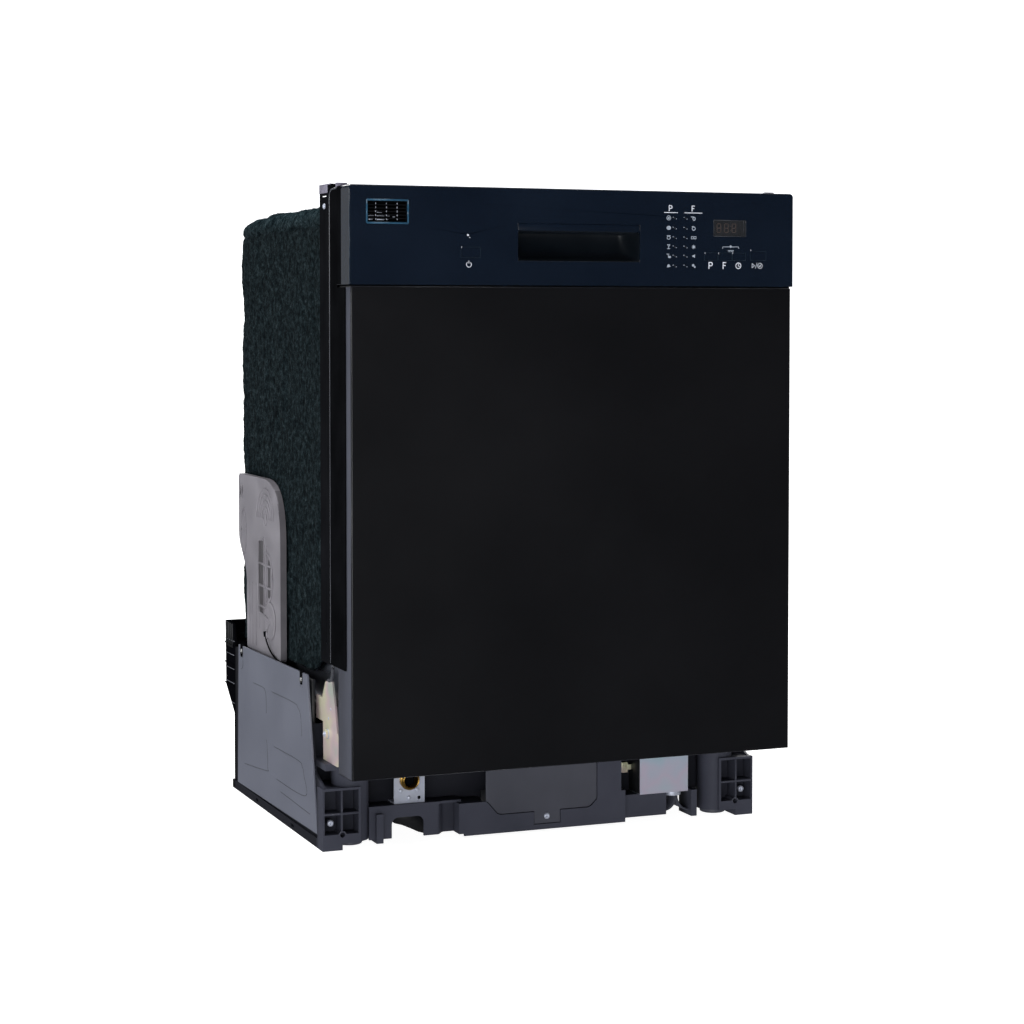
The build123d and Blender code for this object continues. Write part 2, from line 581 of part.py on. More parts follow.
with BuildPart() as upper_rack:
    wire_basket(UPPER_HALF, UPPER_FRONT, UPPER_BACK, UPPER_FLOOR, UPPER_TOP)
    both_sides((UPPER_HALF - 1, 258.5), (200, 225), (RAIL_Z - 12, RAIL_Z + 12))
    both_sides((UPPER_HALF - 1, 258.5), (420, 445), (RAIL_Z - 12, RAIL_Z + 12))
    # feed tube to the upper spray arm
    rod(7, (0, ARM_DEPTH - 8, 511), (0, 1, 0), 501 - (ARM_DEPTH - 8))
    rod(14, (0, ARM_DEPTH, 501), (0, 0, 1), UPPER_FLOOR + 1 - 501)
save(upper_rack, "upper_rack")

with BuildPart() as upper_spray_arm:
    with BuildSketch(Plane.XY.offset(486)):
        with Locations((ARM_X, at(ARM_DEPTH))):
            SlotOverall(UPPER_ARM_LENGTH, 30)
            Circle(24)
    extrude(amount=11)
    fillet(upper_spray_arm.edges().group_by(Axis.Z)[-1], 3)
    rod(13, (ARM_X, ARM_DEPTH, 497), (0, 0, 1), 3.6)
save(upper_spray_arm, "upper_spray_arm")

with BuildPart() as fixed_rails:
    both_sides((263.0, 266.2), (90, 520), (RAIL_Z - 12.5, RAIL_Z - 10))
    both_sides((263.0, 266.2), (90, 520), (RAIL_Z + 10, RAIL_Z + 12.5))
    both_sides((266.2, TUB_HALF), (90, 520), (RAIL_Z - 12.5, RAIL_Z + 12.5))
save(fixed_rails, "fixed_rails")

with BuildPart() as upper_rails:
    both_sides((259.0, 265.8), (80, 505), (RAIL_Z - 9.5, RAIL_Z + 9.5))
save(upper_rails, "upper_rails")


# ---------------------------------------------------------------- base
def mirrored(spans, side):
    """An X span on the right (side 1) or the left (side -1)."""
    if side > 0:
        return spans
    return (-spans[1], -spans[0])


def foot_housing(side):
    """Round housing of a front foot, left hollow for the stem and the disc."""
    rod(24, (side * FOOT_X, FOOT_DEPTH - 4, 8), (0, 0, 1), 98)
    rod(FOOT_DISC_R + 1.5, (side * FOOT_X, FOOT_DEPTH, 0), (0, 0, 1), 14, Mode.SUBTRACT)
    rod(FOOT_STEM_R + RUN_GAP, (side * FOOT_X, FOOT_DEPTH, 0), (0, 0, 1), 110, Mode.SUBTRACT)


def corner_block(side):
    """Front corner: a ribbed pocket with four cells, its pad on the floor and the foot housing."""
    block(mirrored((250, BASE_SIDE_OUT), side), (BASE_FRONT, 160), (8, 78))
    block(mirrored((BASE_SIDE_OUT, BASE_RIM), side), (BASE_FRONT, 132), (8, 78))
    block(mirrored((274, BASE_RIM), side), (BASE_FRONT, 160), (0, 12))
    foot_housing(side)
    for cell_x in ((253, 273.8), (276, 297.5)):
        for cell_z in ((20, 44.5), (47, 75)):
            block(mirrored(cell_x, side), (BASE_FRONT, 131), cell_z, Mode.SUBTRACT)
    # screw boss in the outer lower cell and a round drain hole in the cell floor
    rod(4.5, (side * 287, 118, 33), (0, 1, 0), 15)
    rod(4.5, (side * 274, BASE_FRONT + 0.5, 19), (0, 1, 0), 24)
    rod(3.2, (side * 274, BASE_FRONT, 19), (0, 1, 0), 24, Mode.SUBTRACT)


def rear_upright(side):
    """Rear corner post that carries the back of the tub."""
    outline = [(BASE_REAR, 0), (541, 0), (544, 105), (589, 139), (DEPTH, 231), (548, 231), (BASE_REAR, 205)]
    start = 256 if side > 0 else -296
    side_outline(outline, start, 40)
    block(mirrored((259, 293), side), (BASE_REAR, 584), (144, 231), Mode.SUBTRACT)
    block(mirrored((259, 293), side), (BASE_REAR - 1, 541), (3, 140), Mode.SUBTRACT)
    # room for the tub and its blanket
    block(mirrored((250, 273), side), (BASE_REAR - 5, BLANKET_BACK + 1), (148, 240), Mode.SUBTRACT)
    for rib_z in (199, 171, 141):
        block(mirrored((255, 297.3), side), (543, DEPTH), (rib_z, rib_z + 1.6))


def base_side(side):
    """Side wall under the grey cover, with the thicker rim that shows below it."""
    wall = [(112, 0), (BASE_REAR + 3, 0), (BASE_REAR + 3, 200), (182, 200), (150, 92), (112, 78)]
    start = BASE_SIDE_IN if side > 0 else -BASE_SIDE_OUT
    side_outline(wall, start, BASE_SIDE_OUT - BASE_SIDE_IN)
    block(mirrored((BASE_SIDE_OUT - 1, BASE_RIM), side), (112, BASE_REAR + 3), (0, 11.5))
    for slot_depth in (235, 405):
        block(mirrored((BASE_SIDE_OUT, BASE_RIM), side), (slot_depth, slot_depth + 14), (4, 8), Mode.SUBTRACT)
    # shelf that the hinge bracket stands on
    block(mirrored((276, BASE_SIDE_IN + 1), side), (112, 175), (100, 108))
    block(mirrored((262, BASE_SIDE_IN + 1), side), (168, 171), (FLOOR_PLATE_Z, 150))


# cut line of the access cover in the centre block, left to right
COVER_CUT = [(-83, 46), (-80, 44), (-67, 29), (-62, 27.5), (-16, 27.5), (-16, 11), (21, 11), (21, 27.5),
             (59, 27.5), (64, 29), (71, 36), (73, 37)]

with BuildPart() as base_tray:
    block((-BASE_SIDE_IN, BASE_SIDE_IN), (LEDGE_BACK - BASE_WALL, BASE_REAR),
          (FLOOR_PLATE_Z, FLOOR_PLATE_Z + BASE_WALL))
    block((-BASE_SIDE_IN, BASE_SIDE_IN), (BASE_REAR - BASE_WALL, BASE_REAR), (5, 150))
    # front apron and centre block: one wall that steps forward in an S
    with BuildSketch(Plane.XY.offset(7)) as apron_plan:
        with BuildLine():
            Polyline([(-236, at(APRON_FRONT)), (-143, at(APRON_FRONT)), (-134, at(APRON_FRONT + 12)),
                      (-119, at(APRON_FRONT + 12)), (-119, at(BASE_FRONT)), (113, at(BASE_FRONT)),
                      (113, at(APRON_FRONT + 3)), (110, at(APRON_FRONT + 3)), (110, at(BASE_FRONT + 3)),
                      (-116, at(BASE_FRONT + 3)), (-116, at(APRON_FRONT + 15)), (-136, at(APRON_FRONT + 15)),
                      (-145, at(APRON_FRONT + 3)), (-236, at(APRON_FRONT + 3))], close=True)
        make_face()
        fillet(apron_plan.vertices().filter_by(lambda v: -146 < v.X < -133), 5)
    extrude(amount=39)
    block((-112, 113), (BASE_FRONT, BASE_FRONT + 3), (4, 8))
    block((-236, -112), (APRON_FRONT + 2, LEDGE_BACK), (46, 49))
    block((-236, -141), (APRON_FRONT, APRON_FRONT + 3), (46, 49))
    block((-119, -83), (BASE_FRONT + 2, LEDGE_BACK), (43, 46))
    block((73, 104), (BASE_FRONT, BASE_FRONT + 3), (37, 106))
    block((104, 107), (BASE_FRONT, LEDGE_BACK), (37, 106))
    # wall behind the ledges
    block((-252, 252), (LEDGE_BACK - BASE_WALL, LEDGE_BACK), (FLOOR_PLATE_Z, 106))
    # right block with its ledge
    block((112, 177), (APRON_FRONT, APRON_FRONT + 3), (7, 37))
    block((106, 177), (APRON_FRONT, LEDGE_BACK), (34, 37))
    block((174, 177), (APRON_FRONT, LEDGE_BACK), (7, 37))
    for side in (-1, 1):
        base_side(side)
        corner_block(side)
        rear_upright(side)
    # small posts beside the foot housings
    block((-228, -219), (112, LEDGE_BACK), (3, 40))
    block((211, 219), (112, LEDGE_BACK), (3, 38))
    # access opening, hose arch and conduit hole
    front_outline(COVER_CUT + [(73, 60), (-83, 60)], BASE_FRONT, 3, Mode.SUBTRACT)
    rounded_block((-206, -163), (APRON_FRONT, APRON_FRONT + 3), (-20, 33), 9, Mode.SUBTRACT)
    # rear foot housing
    rod(24, (0, REAR_FOOT_DEPTH, 8), (0, 0, 1), 40)
    rod(FOOT_DISC_R + 1.5, (0, REAR_FOOT_DEPTH, 0), (0, 0, 1), 14, Mode.SUBTRACT)
    rod(FOOT_STEM_R + RUN_GAP, (0, REAR_FOOT_DEPTH, 0), (0, 0, 1), 60, Mode.SUBTRACT)
    # cabinet fixing holes through the corner pads
    rod(2.2, (287, BASE_FRONT, 33), (0, 1, 0), 24, Mode.SUBTRACT)
    rod(2.2, (-287, BASE_FRONT, 33), (0, 1, 0), 24, Mode.SUBTRACT)
save(base_tray, "base_tray")

with BuildPart() as access_cover:
    inset = [(-82.2, 46), (-79.2, 44.6), (-66.4, 29.8), (-61.6, 28.2), (-15.4, 28.2), (-15.4, 11.6),
             (20.4, 11.6), (20.4, 28.2), (58.6, 28.2), (63.4, 29.8), (70.4, 36.6), (72.4, 37.6),
             (72.4, 106), (-82.2, 106)]
    front_outline(inset, BASE_FRONT + 0.8, 2.2)
    rod(2.0, (2, BASE_FRONT, 21), (0, 1, 0), 4, Mode.SUBTRACT)
save(access_cover, "access_cover")

cover_outline = [(513, 12), (506, 207), (175, 212), (133.5, 17)]


def make_side_cover(side, name):
    """Grey sheet with a folded rim and a screw tab in each of two notches in its top edge."""
    inner = side * (BASE_SIDE_OUT + 0.2)
    thickness = side * 2.6
    with BuildPart() as cover:
        side_outline(cover_outline, inner, thickness)
        with BuildSketch(Plane.YZ.offset(inner)):
            with BuildLine():
                Polyline([(at(depth), z) for depth, z in cover_outline], close=True)
            make_face()
            offset(amount=-5)
        extrude(amount=side * 1.4, mode=Mode.SUBTRACT)
        for notch_depth, notch_z in ((490, 190), (200, 192)):
            span = tuple(sorted((inner, inner + thickness)))
            block(span, (notch_depth - 5, notch_depth + 5), (notch_z, 215), Mode.SUBTRACT)
            block(span, (notch_depth - 3.6, notch_depth + 3.6), (notch_z - 2, notch_z + 13))
    save(cover, name)


make_side_cover(-1, "side_cover_left")
make_side_cover(1, "side_cover_right")


def make_front_foot(side, name):
    """A levelling foot: a disc and its threaded stem."""
    with BuildPart() as foot:
        rod(FOOT_DISC_R, (side * FOOT_X, FOOT_DEPTH, 1.2), (0, 0, 1), 8)
        fillet(foot.edges().group_by(Axis.Z)[0], 2)
        rod(FOOT_STEM_R, (side * FOOT_X, FOOT_DEPTH, 9), (0, 0, 1), 66)
    save(foot, name)


make_front_foot(-1, "front_foot_left")
make_front_foot(1, "front_foot_right")

with BuildPart() as rear_foot:
    rod(FOOT_DISC_R, (0, REAR_FOOT_DEPTH, 1.2), (0, 0, 1), 8)
    fillet(rear_foot.edges().group_by(Axis.Z)[0], 2)
    rod(FOOT_STEM_R, (0, REAR_FOOT_DEPTH, 9), (0, 0, 1), 52)
save(rear_foot, "rear_foot")

with BuildPart() as inlet_bracket:
    block((-201, -160), (124, 125.5), (49, 112))
    block((-201, -160), (124, 146.8), (49, 50.5))
    rod(11, (-181, 124, 79), (0, 1, 0), 1.5, Mode.SUBTRACT)
    rod(2.2, (-167.5, 124, 55), (0, 1, 0), 1.5, Mode.SUBTRACT)
    for rivet_x, rivet_z in ((-192, 65), (-170, 65), (-181, 55.5)):
        rod(2.6, (rivet_x, 122.6, rivet_z), (0, 1, 0), 2.9)
save(inlet_bracket, "inlet_bracket")

with BuildPart() as inlet_elbow:
    rod(11, (-181, 114, 79), (0, 1, 0), 32.6)
    rod(14, (-181, 119, 79), (0, 1, 0), 4.9)
    rod(9.0, (-181, 114, 79), (0, 1, 0), 18, Mode.SUBTRACT)
    rod(6.5, (-181, 114, 79), (0, 1, 0), 28, Mode.SUBTRACT)
save(inlet_elbow, "inlet_elbow")

with BuildPart() as junction_box:
    block((136, 206), (112, 146.8), (37.2, 97))
    block((137, 205), (113, 145.8), (38.2, 96), Mode.SUBTRACT)
    block((112, 122), (140, 141.2), (62, 76))
    block((121, 136.5), (140, 141.2), (66, 72))
    rod(2.2, (118, 140, 69), (0, 1, 0), 1.2, Mode.SUBTRACT)
    rod(9.5, (CONDUIT_X, 128, 37.2), (0, 0, 1), 1, Mode.SUBTRACT)
save(junction_box, "junction_box")

with BuildPart() as conduit_clamp:
    rod(11.5, (CONDUIT_X, 128, 31.0), (0, 0, 1), 6.2)
    rod(8.0, (CONDUIT_X, 128, 31.0), (0, 0, 1), 6.2, Mode.SUBTRACT)
save(conduit_clamp, "conduit_clamp")

with BuildPart() as fixing_screws:
    for side in (-1, 1):
        rod(3.8, (side * 287, 114.5, 33), (0, 1, 0), 3.5)
        rod(2.1, (side * 287, 118, 33), (0, 1, 0), 12)
        rod(3.4, (side * (FRAME_HALF + 1.6), 102, 800), (-side, 0, 0), 1.6)
        rod(1.9, (side * (FRAME_HALF + 1.6), 102, 800), (-side, 0, 0), 8)
    rod(3.8, (2, BASE_FRONT - 1.7, 21), (0, 1, 0), 2.5)
    rod(1.9, (2, BASE_FRONT - 1.7, 21), (0, 1, 0), 8)
save(fixing_screws, "fixing_screws")

with BuildPart() as hinge_brackets:
    bracket_outline = [(28, 121), (60, 119), (92, 108), (150, 108), (152, 190), (140, 208), (112, 211),
                       (100, 180), (92, 150), (70, 139), (28, 139)]
    for side in (-1, 1):
        start = 283.5 if side > 0 else -286.0
        side_outline(bracket_outline, start, 2.5)
        rod(9.5, (side * 283.5, HINGE_DEPTH, HINGE_Z), (side, 0, 0), 2.5)
        rod(HINGE_PIN_R, (side * 285.5, HINGE_DEPTH, HINGE_Z), (side, 0, 0), 5.5)
        rod(5.5, (side * 286, 131, 143), (side, 0, 0), 4)
        # folded U at the back, where the door spring hooks on
        block(mirrored((276, 286), side), (152, 154.5), (156, 186))
        block(mirrored((276, 278.5), side), (154.5, 180), (156, 186))
        block(mirrored((283.5, 286), side), (150, 180), (156, 186))
save(hinge_brackets, "hinge_brackets")

with BuildPart() as door_springs:
    for side in (-1, 1):
        rod(4.0, (side * 281.0, 186, 171), (0, 1, 0), 190)
        rod(1.4, (side * 281.0, 158, 171), (0, 1, 0), 30)
        rod(1.4, (side * 281.0, 376, 171), (0, 1, 0), 30)
save(door_springs, "door_springs")
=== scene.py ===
"""The looks of a built-in dishwasher: camera, light, finishes, felt, racks, printed marks and screws.

Shapes are written in millimetres. A place is (x, depth, z), where depth is the distance behind the front
of the control panel, and point() turns it into the shared frame. The radii and profiles that the add_
functions take are in millimetres too. The camera, the lights, the felt and the places that follow the
frame's own boxes are in metres.
"""

import math
import random

import bmesh
import bpy
from mathutils import Euler, Matrix, Vector, noise


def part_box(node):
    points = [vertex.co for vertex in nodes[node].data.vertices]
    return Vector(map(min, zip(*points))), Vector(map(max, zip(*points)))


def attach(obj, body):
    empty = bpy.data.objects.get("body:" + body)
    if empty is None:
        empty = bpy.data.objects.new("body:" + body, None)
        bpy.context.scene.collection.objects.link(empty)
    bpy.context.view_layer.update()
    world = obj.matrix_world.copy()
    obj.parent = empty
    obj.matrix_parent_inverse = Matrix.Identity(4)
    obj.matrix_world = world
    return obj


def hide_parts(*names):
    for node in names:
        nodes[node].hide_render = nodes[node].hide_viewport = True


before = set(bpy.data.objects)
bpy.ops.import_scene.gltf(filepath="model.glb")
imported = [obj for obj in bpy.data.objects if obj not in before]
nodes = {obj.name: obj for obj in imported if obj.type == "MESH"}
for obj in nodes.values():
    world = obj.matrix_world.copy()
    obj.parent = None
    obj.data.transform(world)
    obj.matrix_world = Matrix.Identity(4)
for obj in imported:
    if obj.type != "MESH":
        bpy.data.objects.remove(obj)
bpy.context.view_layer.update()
scene = bpy.context.scene

MM = 0.001
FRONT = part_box("control_panel")[0].y
SIDES = (-1, 1)


def point(x, depth, z):
    """A point in the shared frame from millimetres."""
    return Vector((x * MM, FRONT + depth * MM, z * MM))


# ---------------------------------------------------------------- camera
camera = bpy.data.objects.new("camera", bpy.data.cameras.new("camera"))
scene.collection.objects.link(camera)
camera.location = (-1.1346, -2.9077, 0.6617)
camera.rotation_euler = Euler((math.radians(87.69), 0, math.radians(-21.80)))
camera.data.lens = 80.9
camera.data.sensor_width = 36
camera.data.shift_y = -0.0977
camera.data.clip_end = 200
scene.camera = camera


# ---------------------------------------------------------------- finishes
def add_node(material, kind, **values):
    """A shader node with its inputs set; an underscore stands for the space in an input's name."""
    made = material.node_tree.nodes.new("ShaderNode" + kind)
    for name, value in values.items():
        made.inputs[name.replace("_", " ")].default_value = value
    return made


def shader(name, rough=0.5, metallic=0.0, specular=0.5, coat=0.0, coat_rough=0.05):
    """A material with its values that don't vary set on the shader."""
    material = bpy.data.materials.new(name)
    material.use_nodes = True
    principled = material.node_tree.nodes["Principled BSDF"]
    steady = {"Roughness": rough, "Metallic": metallic, "Specular IOR Level": specular, "Coat Weight": coat,
              "Coat Roughness": coat_rough}
    for socket, value in steady.items():
        principled.inputs[socket].default_value = value
    return material, principled


def noise_node(material, scale, detail=4.0, stretch=(1, 1, 1), roughness=0.55):
    """Noise in the object's own metres, stretched along its axes."""
    links = material.node_tree.links
    coords = add_node(material, "TexCoord")
    mapping = add_node(material, "Mapping", Scale=stretch)
    texture = add_node(material, "TexNoise", Scale=scale, Detail=detail, Roughness=roughness)
    links.new(coords.outputs["Object"], mapping.inputs["Vector"])
    links.new(mapping.outputs["Vector"], texture.inputs["Vector"])
    return texture.outputs["Fac"]


def ramp(material, value, stops):
    """Colours along a varying value: stops are (position, colour)."""
    node = add_node(material, "ValToRGB")
    elements = node.color_ramp.elements
    while len(elements) < len(stops):
        elements.new(0.5)
    for element, (position, colour) in zip(elements, stops):
        element.position = position
        element.color = (*colour, 1)
    material.node_tree.links.new(value, node.inputs["Fac"])
    return node.outputs["Color"]


def mapped(material, value, start, end, low, high):
    """A varying value mapped from start..end to low..high."""
    node = add_node(material, "MapRange", From_Min=start, From_Max=end, To_Min=low, To_Max=high)
    material.node_tree.links.new(value, node.inputs["Value"])
    return node.outputs["Result"]


def bump(material, principled, height, strength, distance):
    """Surface relief from a varying height."""
    node = add_node(material, "Bump", Strength=strength, Distance=distance)
    material.node_tree.links.new(height, node.inputs["Height"])
    material.node_tree.links.new(node.outputs["Normal"], principled.inputs["Normal"])


def mottled(name, dark, light, rough=(0.4, 0.5), grain=900.0, relief=0.15, relief_depth=0.0002, cloud=9.0,
            stretch=(1, 1, 1), **shader_values):
    """A finish whose colour and roughness drift slowly, with a fine grain in its surface."""
    material, principled = shader(name, **shader_values)
    drift = noise_node(material, cloud, 5, stretch)
    fine = noise_node(material, grain, 3, stretch)
    links = material.node_tree.links
    links.new(ramp(material, drift, [(0.3, dark), (0.7, light)]), principled.inputs["Base Color"])
    links.new(mapped(material, drift, 0.3, 0.7, *rough), principled.inputs["Roughness"])
    bump(material, principled, fine, relief, relief_depth)
    return material


def grey(value):
    return value, value, value


def cool(value):
    """A grey that leans to blue."""
    return 0.90 * value, 0.95 * value, 1.12 * value


# glossy and painted parts of the front
door_black = mottled("door_black", (0.0012, 0.0013, 0.0024), (0.0022, 0.0023, 0.0038), (0.30, 0.38), 700,
                     0.05, 0.0001, 4, specular=0.34)
fascia_gloss = mottled("fascia_gloss", (0.0008, 0.0034, 0.0092), (0.0020, 0.0060, 0.0146), (0.16, 0.24), 500,
                       0.03, 0.0001, 7, specular=0.30, coat=0.10, coat_rough=0.08)
black_paint = mottled("black_paint", cool(0.0040), cool(0.0070), (0.25, 0.38), 900, 0.08, 0.0001, 14,
                      specular=0.0)
scoop_plastic = mottled("scoop_plastic", (0.0030, 0.0046, 0.0070), (0.0050, 0.0074, 0.0110), (0.30, 0.42),
                        900, 0.08, 0.0001, 14, specular=0.3)
# pale grey of the trims' beads: a painted highlight on their rounded edges
bead_plastic_sheen = mottled("bead_plastic_sheen", cool(0.040), cool(0.060), (0.18, 0.26), 900, 0.05, 0.0001, 20,
                       specular=0.6)
vent_blue = mottled("vent_blue", (0.010, 0.045, 0.085), (0.020, 0.075, 0.130), (0.2, 0.3), 900,
                    0.1, 0.0001, 60)
edge_gloss = mottled("edge_gloss", (0.012, 0.013, 0.018), (0.018, 0.020, 0.026), (0.2, 0.3), 900,
                     0.05, 0.0001, 14, specular=0.6)
faint_edge = mottled("faint_edge", (0.006, 0.013, 0.022), (0.014, 0.026, 0.040), (0.2, 0.3), 900,
                     0.05, 0.00005, 60)
# grey of the door's narrow sides: a painted reflection on black paint
door_side_reflection = mottled("door_side_reflection", (0.050, 0.053, 0.068), (0.058, 0.061, 0.078), (0.4, 0.5), 900,
                    0.08, 0.0001, 20, specular=0.1)
# pale lavender: painted highlights on the collar's top corners, and the colour of the small plates there
dull_lavender = mottled("dull_lavender", (0.15, 0.14, 0.18), (0.20, 0.19, 0.24), (0.4, 0.5), 900,
                        0.08, 0.0001, 30, specular=0.2)
# plastic and rubber
black_rubber = mottled("black_rubber", cool(0.0024), cool(0.0044), (0.45, 0.62), 1400, 0.25, 0.0002, 18,
                       specular=0.0)
charcoal = mottled("charcoal", (0.036, 0.038, 0.052), (0.048, 0.050, 0.068), (0.36, 0.50), 1800,
                   0.35, 0.00012, 12, specular=0.5)
base_plastic = mottled("base_plastic", (0.034, 0.036, 0.049), (0.046, 0.048, 0.065), (0.36, 0.50), 1800,
                       0.35, 0.00012, 12, specular=0.07)
black_moulding = mottled("black_moulding", cool(0.006), cool(0.010), (0.35, 0.5), 1500, 0.3, 0.00015, 16,
                         specular=0.45)
pale_plastic = mottled("pale_plastic", (0.130, 0.122, 0.138), (0.185, 0.175, 0.194), (0.42, 0.6), 700,
                       0.35, 0.0003, 26, specular=0.45)
pale_shade = mottled("pale_shade", (0.080, 0.075, 0.084), (0.104, 0.098, 0.109), (0.42, 0.6), 700,
                     0.35, 0.0003, 26, specular=0.3)
shaded_plastic = mottled("shaded_plastic", (0.040, 0.037, 0.042), (0.056, 0.052, 0.058), (0.5, 0.6), 900,
                         0.2, 0.0002, 30)
# painted highlight on the ribs of the rear posts
post_rib_highlight = mottled("post_rib_highlight", cool(0.09), cool(0.13), (0.3, 0.4), 900, 0.1, 0.0001, 30)
grey_plastic = mottled("grey_plastic", cool(0.26), cool(0.34), (0.38, 0.5), 1200, 0.25, 0.00015, 14)
gasket_rubber = mottled("gasket_rubber", grey(0.016), grey(0.028), (0.5, 0.65), 1500, 0.3, 0.0002, 25)
light_pipe = mottled("light_pipe", cool(0.012), cool(0.020), (0.2, 0.3), 900, 0.1, 0.0001, 80)
# metal and coated wire
cover_sheet = mottled("cover_sheet", (0.090, 0.096, 0.124), (0.112, 0.119, 0.152), (0.36, 0.48), 1100,
                      0.10, 0.0001, 7, specular=0.5)
# painted shade along the pressed lines of the side covers
pressed_line_shade = mottled("pressed_line_shade", cool(0.034), cool(0.052), (0.4, 0.5), 900, 0.1, 0.0001, 30)
steel = mottled("steel", cool(0.50), cool(0.60), (0.26, 0.32), 260, 0.04, 0.0001, 3, (1, 1, 26), metallic=1.0)
spring_steel = mottled("spring_steel", grey(0.28), grey(0.42), (0.3, 0.45), 800, 0.2, 0.0002, 30,
                       metallic=1.0)
zinc = mottled("zinc", cool(0.52), cool(0.66), (0.30, 0.46), 700, 0.15, 0.0002, 40, metallic=0.55)
brass = mottled("brass", (0.42, 0.24, 0.05), (0.66, 0.40, 0.10), (0.22, 0.36), 900, 0.15, 0.0002, 60,
                metallic=1.0)
coated_wire = mottled("coated_wire", cool(0.34), cool(0.46), (0.3, 0.42), 900, 0.2, 0.0002, 30)
circuit_green = mottled("circuit_green", (0.01, 0.07, 0.03), (0.02, 0.12, 0.05), (0.3, 0.45), 600,
                        0.2, 0.0002, 90)
# printed marks and the display
ink = mottled("ink", (0.46, 0.48, 0.54), (0.62, 0.64, 0.70), (0.4, 0.55), 2500, 0.2, 0.00005, 260)
dim_ink = mottled("dim_ink", (0.22, 0.25, 0.30), (0.32, 0.36, 0.42), (0.4, 0.55), 2500, 0.2, 0.00005, 260)
dim_digits = mottled("dim_digits", (0.034, 0.024, 0.022), (0.046, 0.033, 0.030), (0.4, 0.5), 2500,
                     0.1, 0.00005, 200)
display_glass = mottled("display_glass", (0.010, 0.011, 0.013), (0.014, 0.015, 0.018), (0.10, 0.16), 900,
                        0.02, 0.00005, 60, specular=0.6)
display_rim = mottled("display_rim", (0.022, 0.024, 0.029), (0.034, 0.037, 0.044), (0.15, 0.25), 900,
                      0.05, 0.00005, 60)


def plated(name, colours, cloud, rough=0.28):
    """Passivated zinc plate, whose tint drifts between the given colours."""
    material, principled = shader(name, metallic=0.45, specular=0.6)
    drift = noise_node(material, cloud, 2, roughness=0.4)
    fine = noise_node(material, 900, 3)
    stops = [(0.28 + 0.44 * i / (len(colours) - 1), colour) for i, colour in enumerate(colours)]
    links = material.node_tree.links
    links.new(ramp(material, drift, stops), principled.inputs["Base Color"])
    links.new(mapped(material, fine, 0.3, 0.7, rough, rough + 0.12), principled.inputs["Roughness"])
    bump(material, principled, fine, 0.1, 0.0001)
    return material


def painted_light_ramp(material, axis, start, end, share_left):
    """Painted light or shade: scales a finish's colour from one place to another along an axis, and takes its
    shine away.
    """
    links = material.node_tree.links
    principled = material.node_tree.nodes["Principled BSDF"]
    colour = principled.inputs["Base Color"]
    shine = principled.inputs["Specular IOR Level"]
    split = add_node(material, "SeparateXYZ")
    links.new(add_node(material, "TexCoord").outputs["Object"], split.inputs["Vector"])
    along = split.outputs[axis]
    scaled = add_node(material, "VectorMath")
    scaled.operation = "SCALE"
    links.new(colour.links[0].from_socket, scaled.inputs[0])
    links.new(mapped(material, along, start, end, 1.0, share_left), scaled.inputs["Scale"])
    links.new(scaled.outputs["Vector"], colour)
    links.new(mapped(material, along, start, end, shine.default_value, 0.0), shine)


# painted shade: the base is painted darker inside, behind its front wall, and blackest at its rear posts
painted_light_ramp(base_plastic, "Y", -0.172, -0.158, 0.30)
painted_light_ramp(base_plastic, "Y", 0.225, 0.240, 0.15)
box_plate = plated("box_plate", [(0.34, 0.50, 0.56), (0.42, 0.50, 0.60), (0.52, 0.47, 0.58),
                                 (0.44, 0.52, 0.60), (0.40, 0.56, 0.52)], 19)
hinge_plate = plated("hinge_plate", [(0.50, 0.56, 0.36), (0.66, 0.62, 0.46), (0.62, 0.48, 0.50),
                                     (0.46, 0.50, 0.44)], 22)


def felt_finish():
    """Dark green-grey wadding, with clumps and fibres that run upwards."""
    material, principled = shader("felt", rough=0.95, specular=0.04)
    links = material.node_tree.links
    mixed = add_node(material, "Math")
    mixed.operation = "MULTIPLY"
    links.new(noise_node(material, 120, 8, roughness=0.7), mixed.inputs[0])
    links.new(noise_node(material, 900, 6, (1, 1, 0.35), roughness=0.75), mixed.inputs[1])
    stops = [(0.17, (0.0008, 0.0020, 0.0026)), (0.25, (0.0055, 0.0100, 0.0120)),
             (0.33, (0.0200, 0.0310, 0.0350)), (0.42, (0.0600, 0.0820, 0.0880))]
    links.new(ramp(material, mixed.outputs["Value"], stops), principled.inputs["Base Color"])
    bump(material, principled, mixed.outputs["Value"], 1.0, 0.004)
    return material


felt_material = felt_finish()

BUTTONS = ["power_button", "program_button", "function_button", "delay_button", "start_button"]
node_finish = {
    door_black: ["door_outer_panel"],
    fascia_gloss: ["control_panel", *BUTTONS],
    black_paint: ["tub_front_frame", "handle_pocket", "vent_grille"],
    black_rubber: ["side_trims"],
    base_plastic: ["base_tray"],
    charcoal: ["access_cover", "front_foot_left", "front_foot_right", "rear_foot"],
    cover_sheet: ["side_cover_left", "side_cover_right"],
    pale_plastic: ["air_breaker"],
    steel: ["door_inner_liner", "tub_wrapper", "tub_back_panel", "tub_floor", "filter_plate", "door_strike",
            "fixed_rails", "upper_rails"],
    spring_steel: ["door_springs", "hinge_arms", "latch_hook"],
    zinc: ["inlet_bracket", "conduit_clamp", "fixing_screws"],
    box_plate: ["junction_box"],
    hinge_plate: ["hinge_brackets"],
    brass: ["inlet_elbow"],
    grey_plastic: ["dispenser_body", "dispenser_lid", "rinse_aid_cap", "filter_cylinder", "lower_spray_arm",
                   "upper_spray_arm", "top_sprayer", "supply_pipe", "float_switch", "lower_wheels_front",
                   "lower_wheels_middle", "lower_wheels_rear", "cutlery_basket"],
    coated_wire: ["lower_rack", "upper_rack"],
    gasket_rubber: ["door_gasket"],
    black_moulding: ["sump", "wash_pump", "drain_pump", "latch_housing"],
    circuit_green: ["control_board"],
    light_pipe: ["indicator_lights"],
    display_glass: ["display_window"],
    felt_material: ["insulation_blanket"],
}
for finish, names in node_finish.items():
    for name in names:
        for material_slot in nodes[name].material_slots:
            material_slot.material = finish


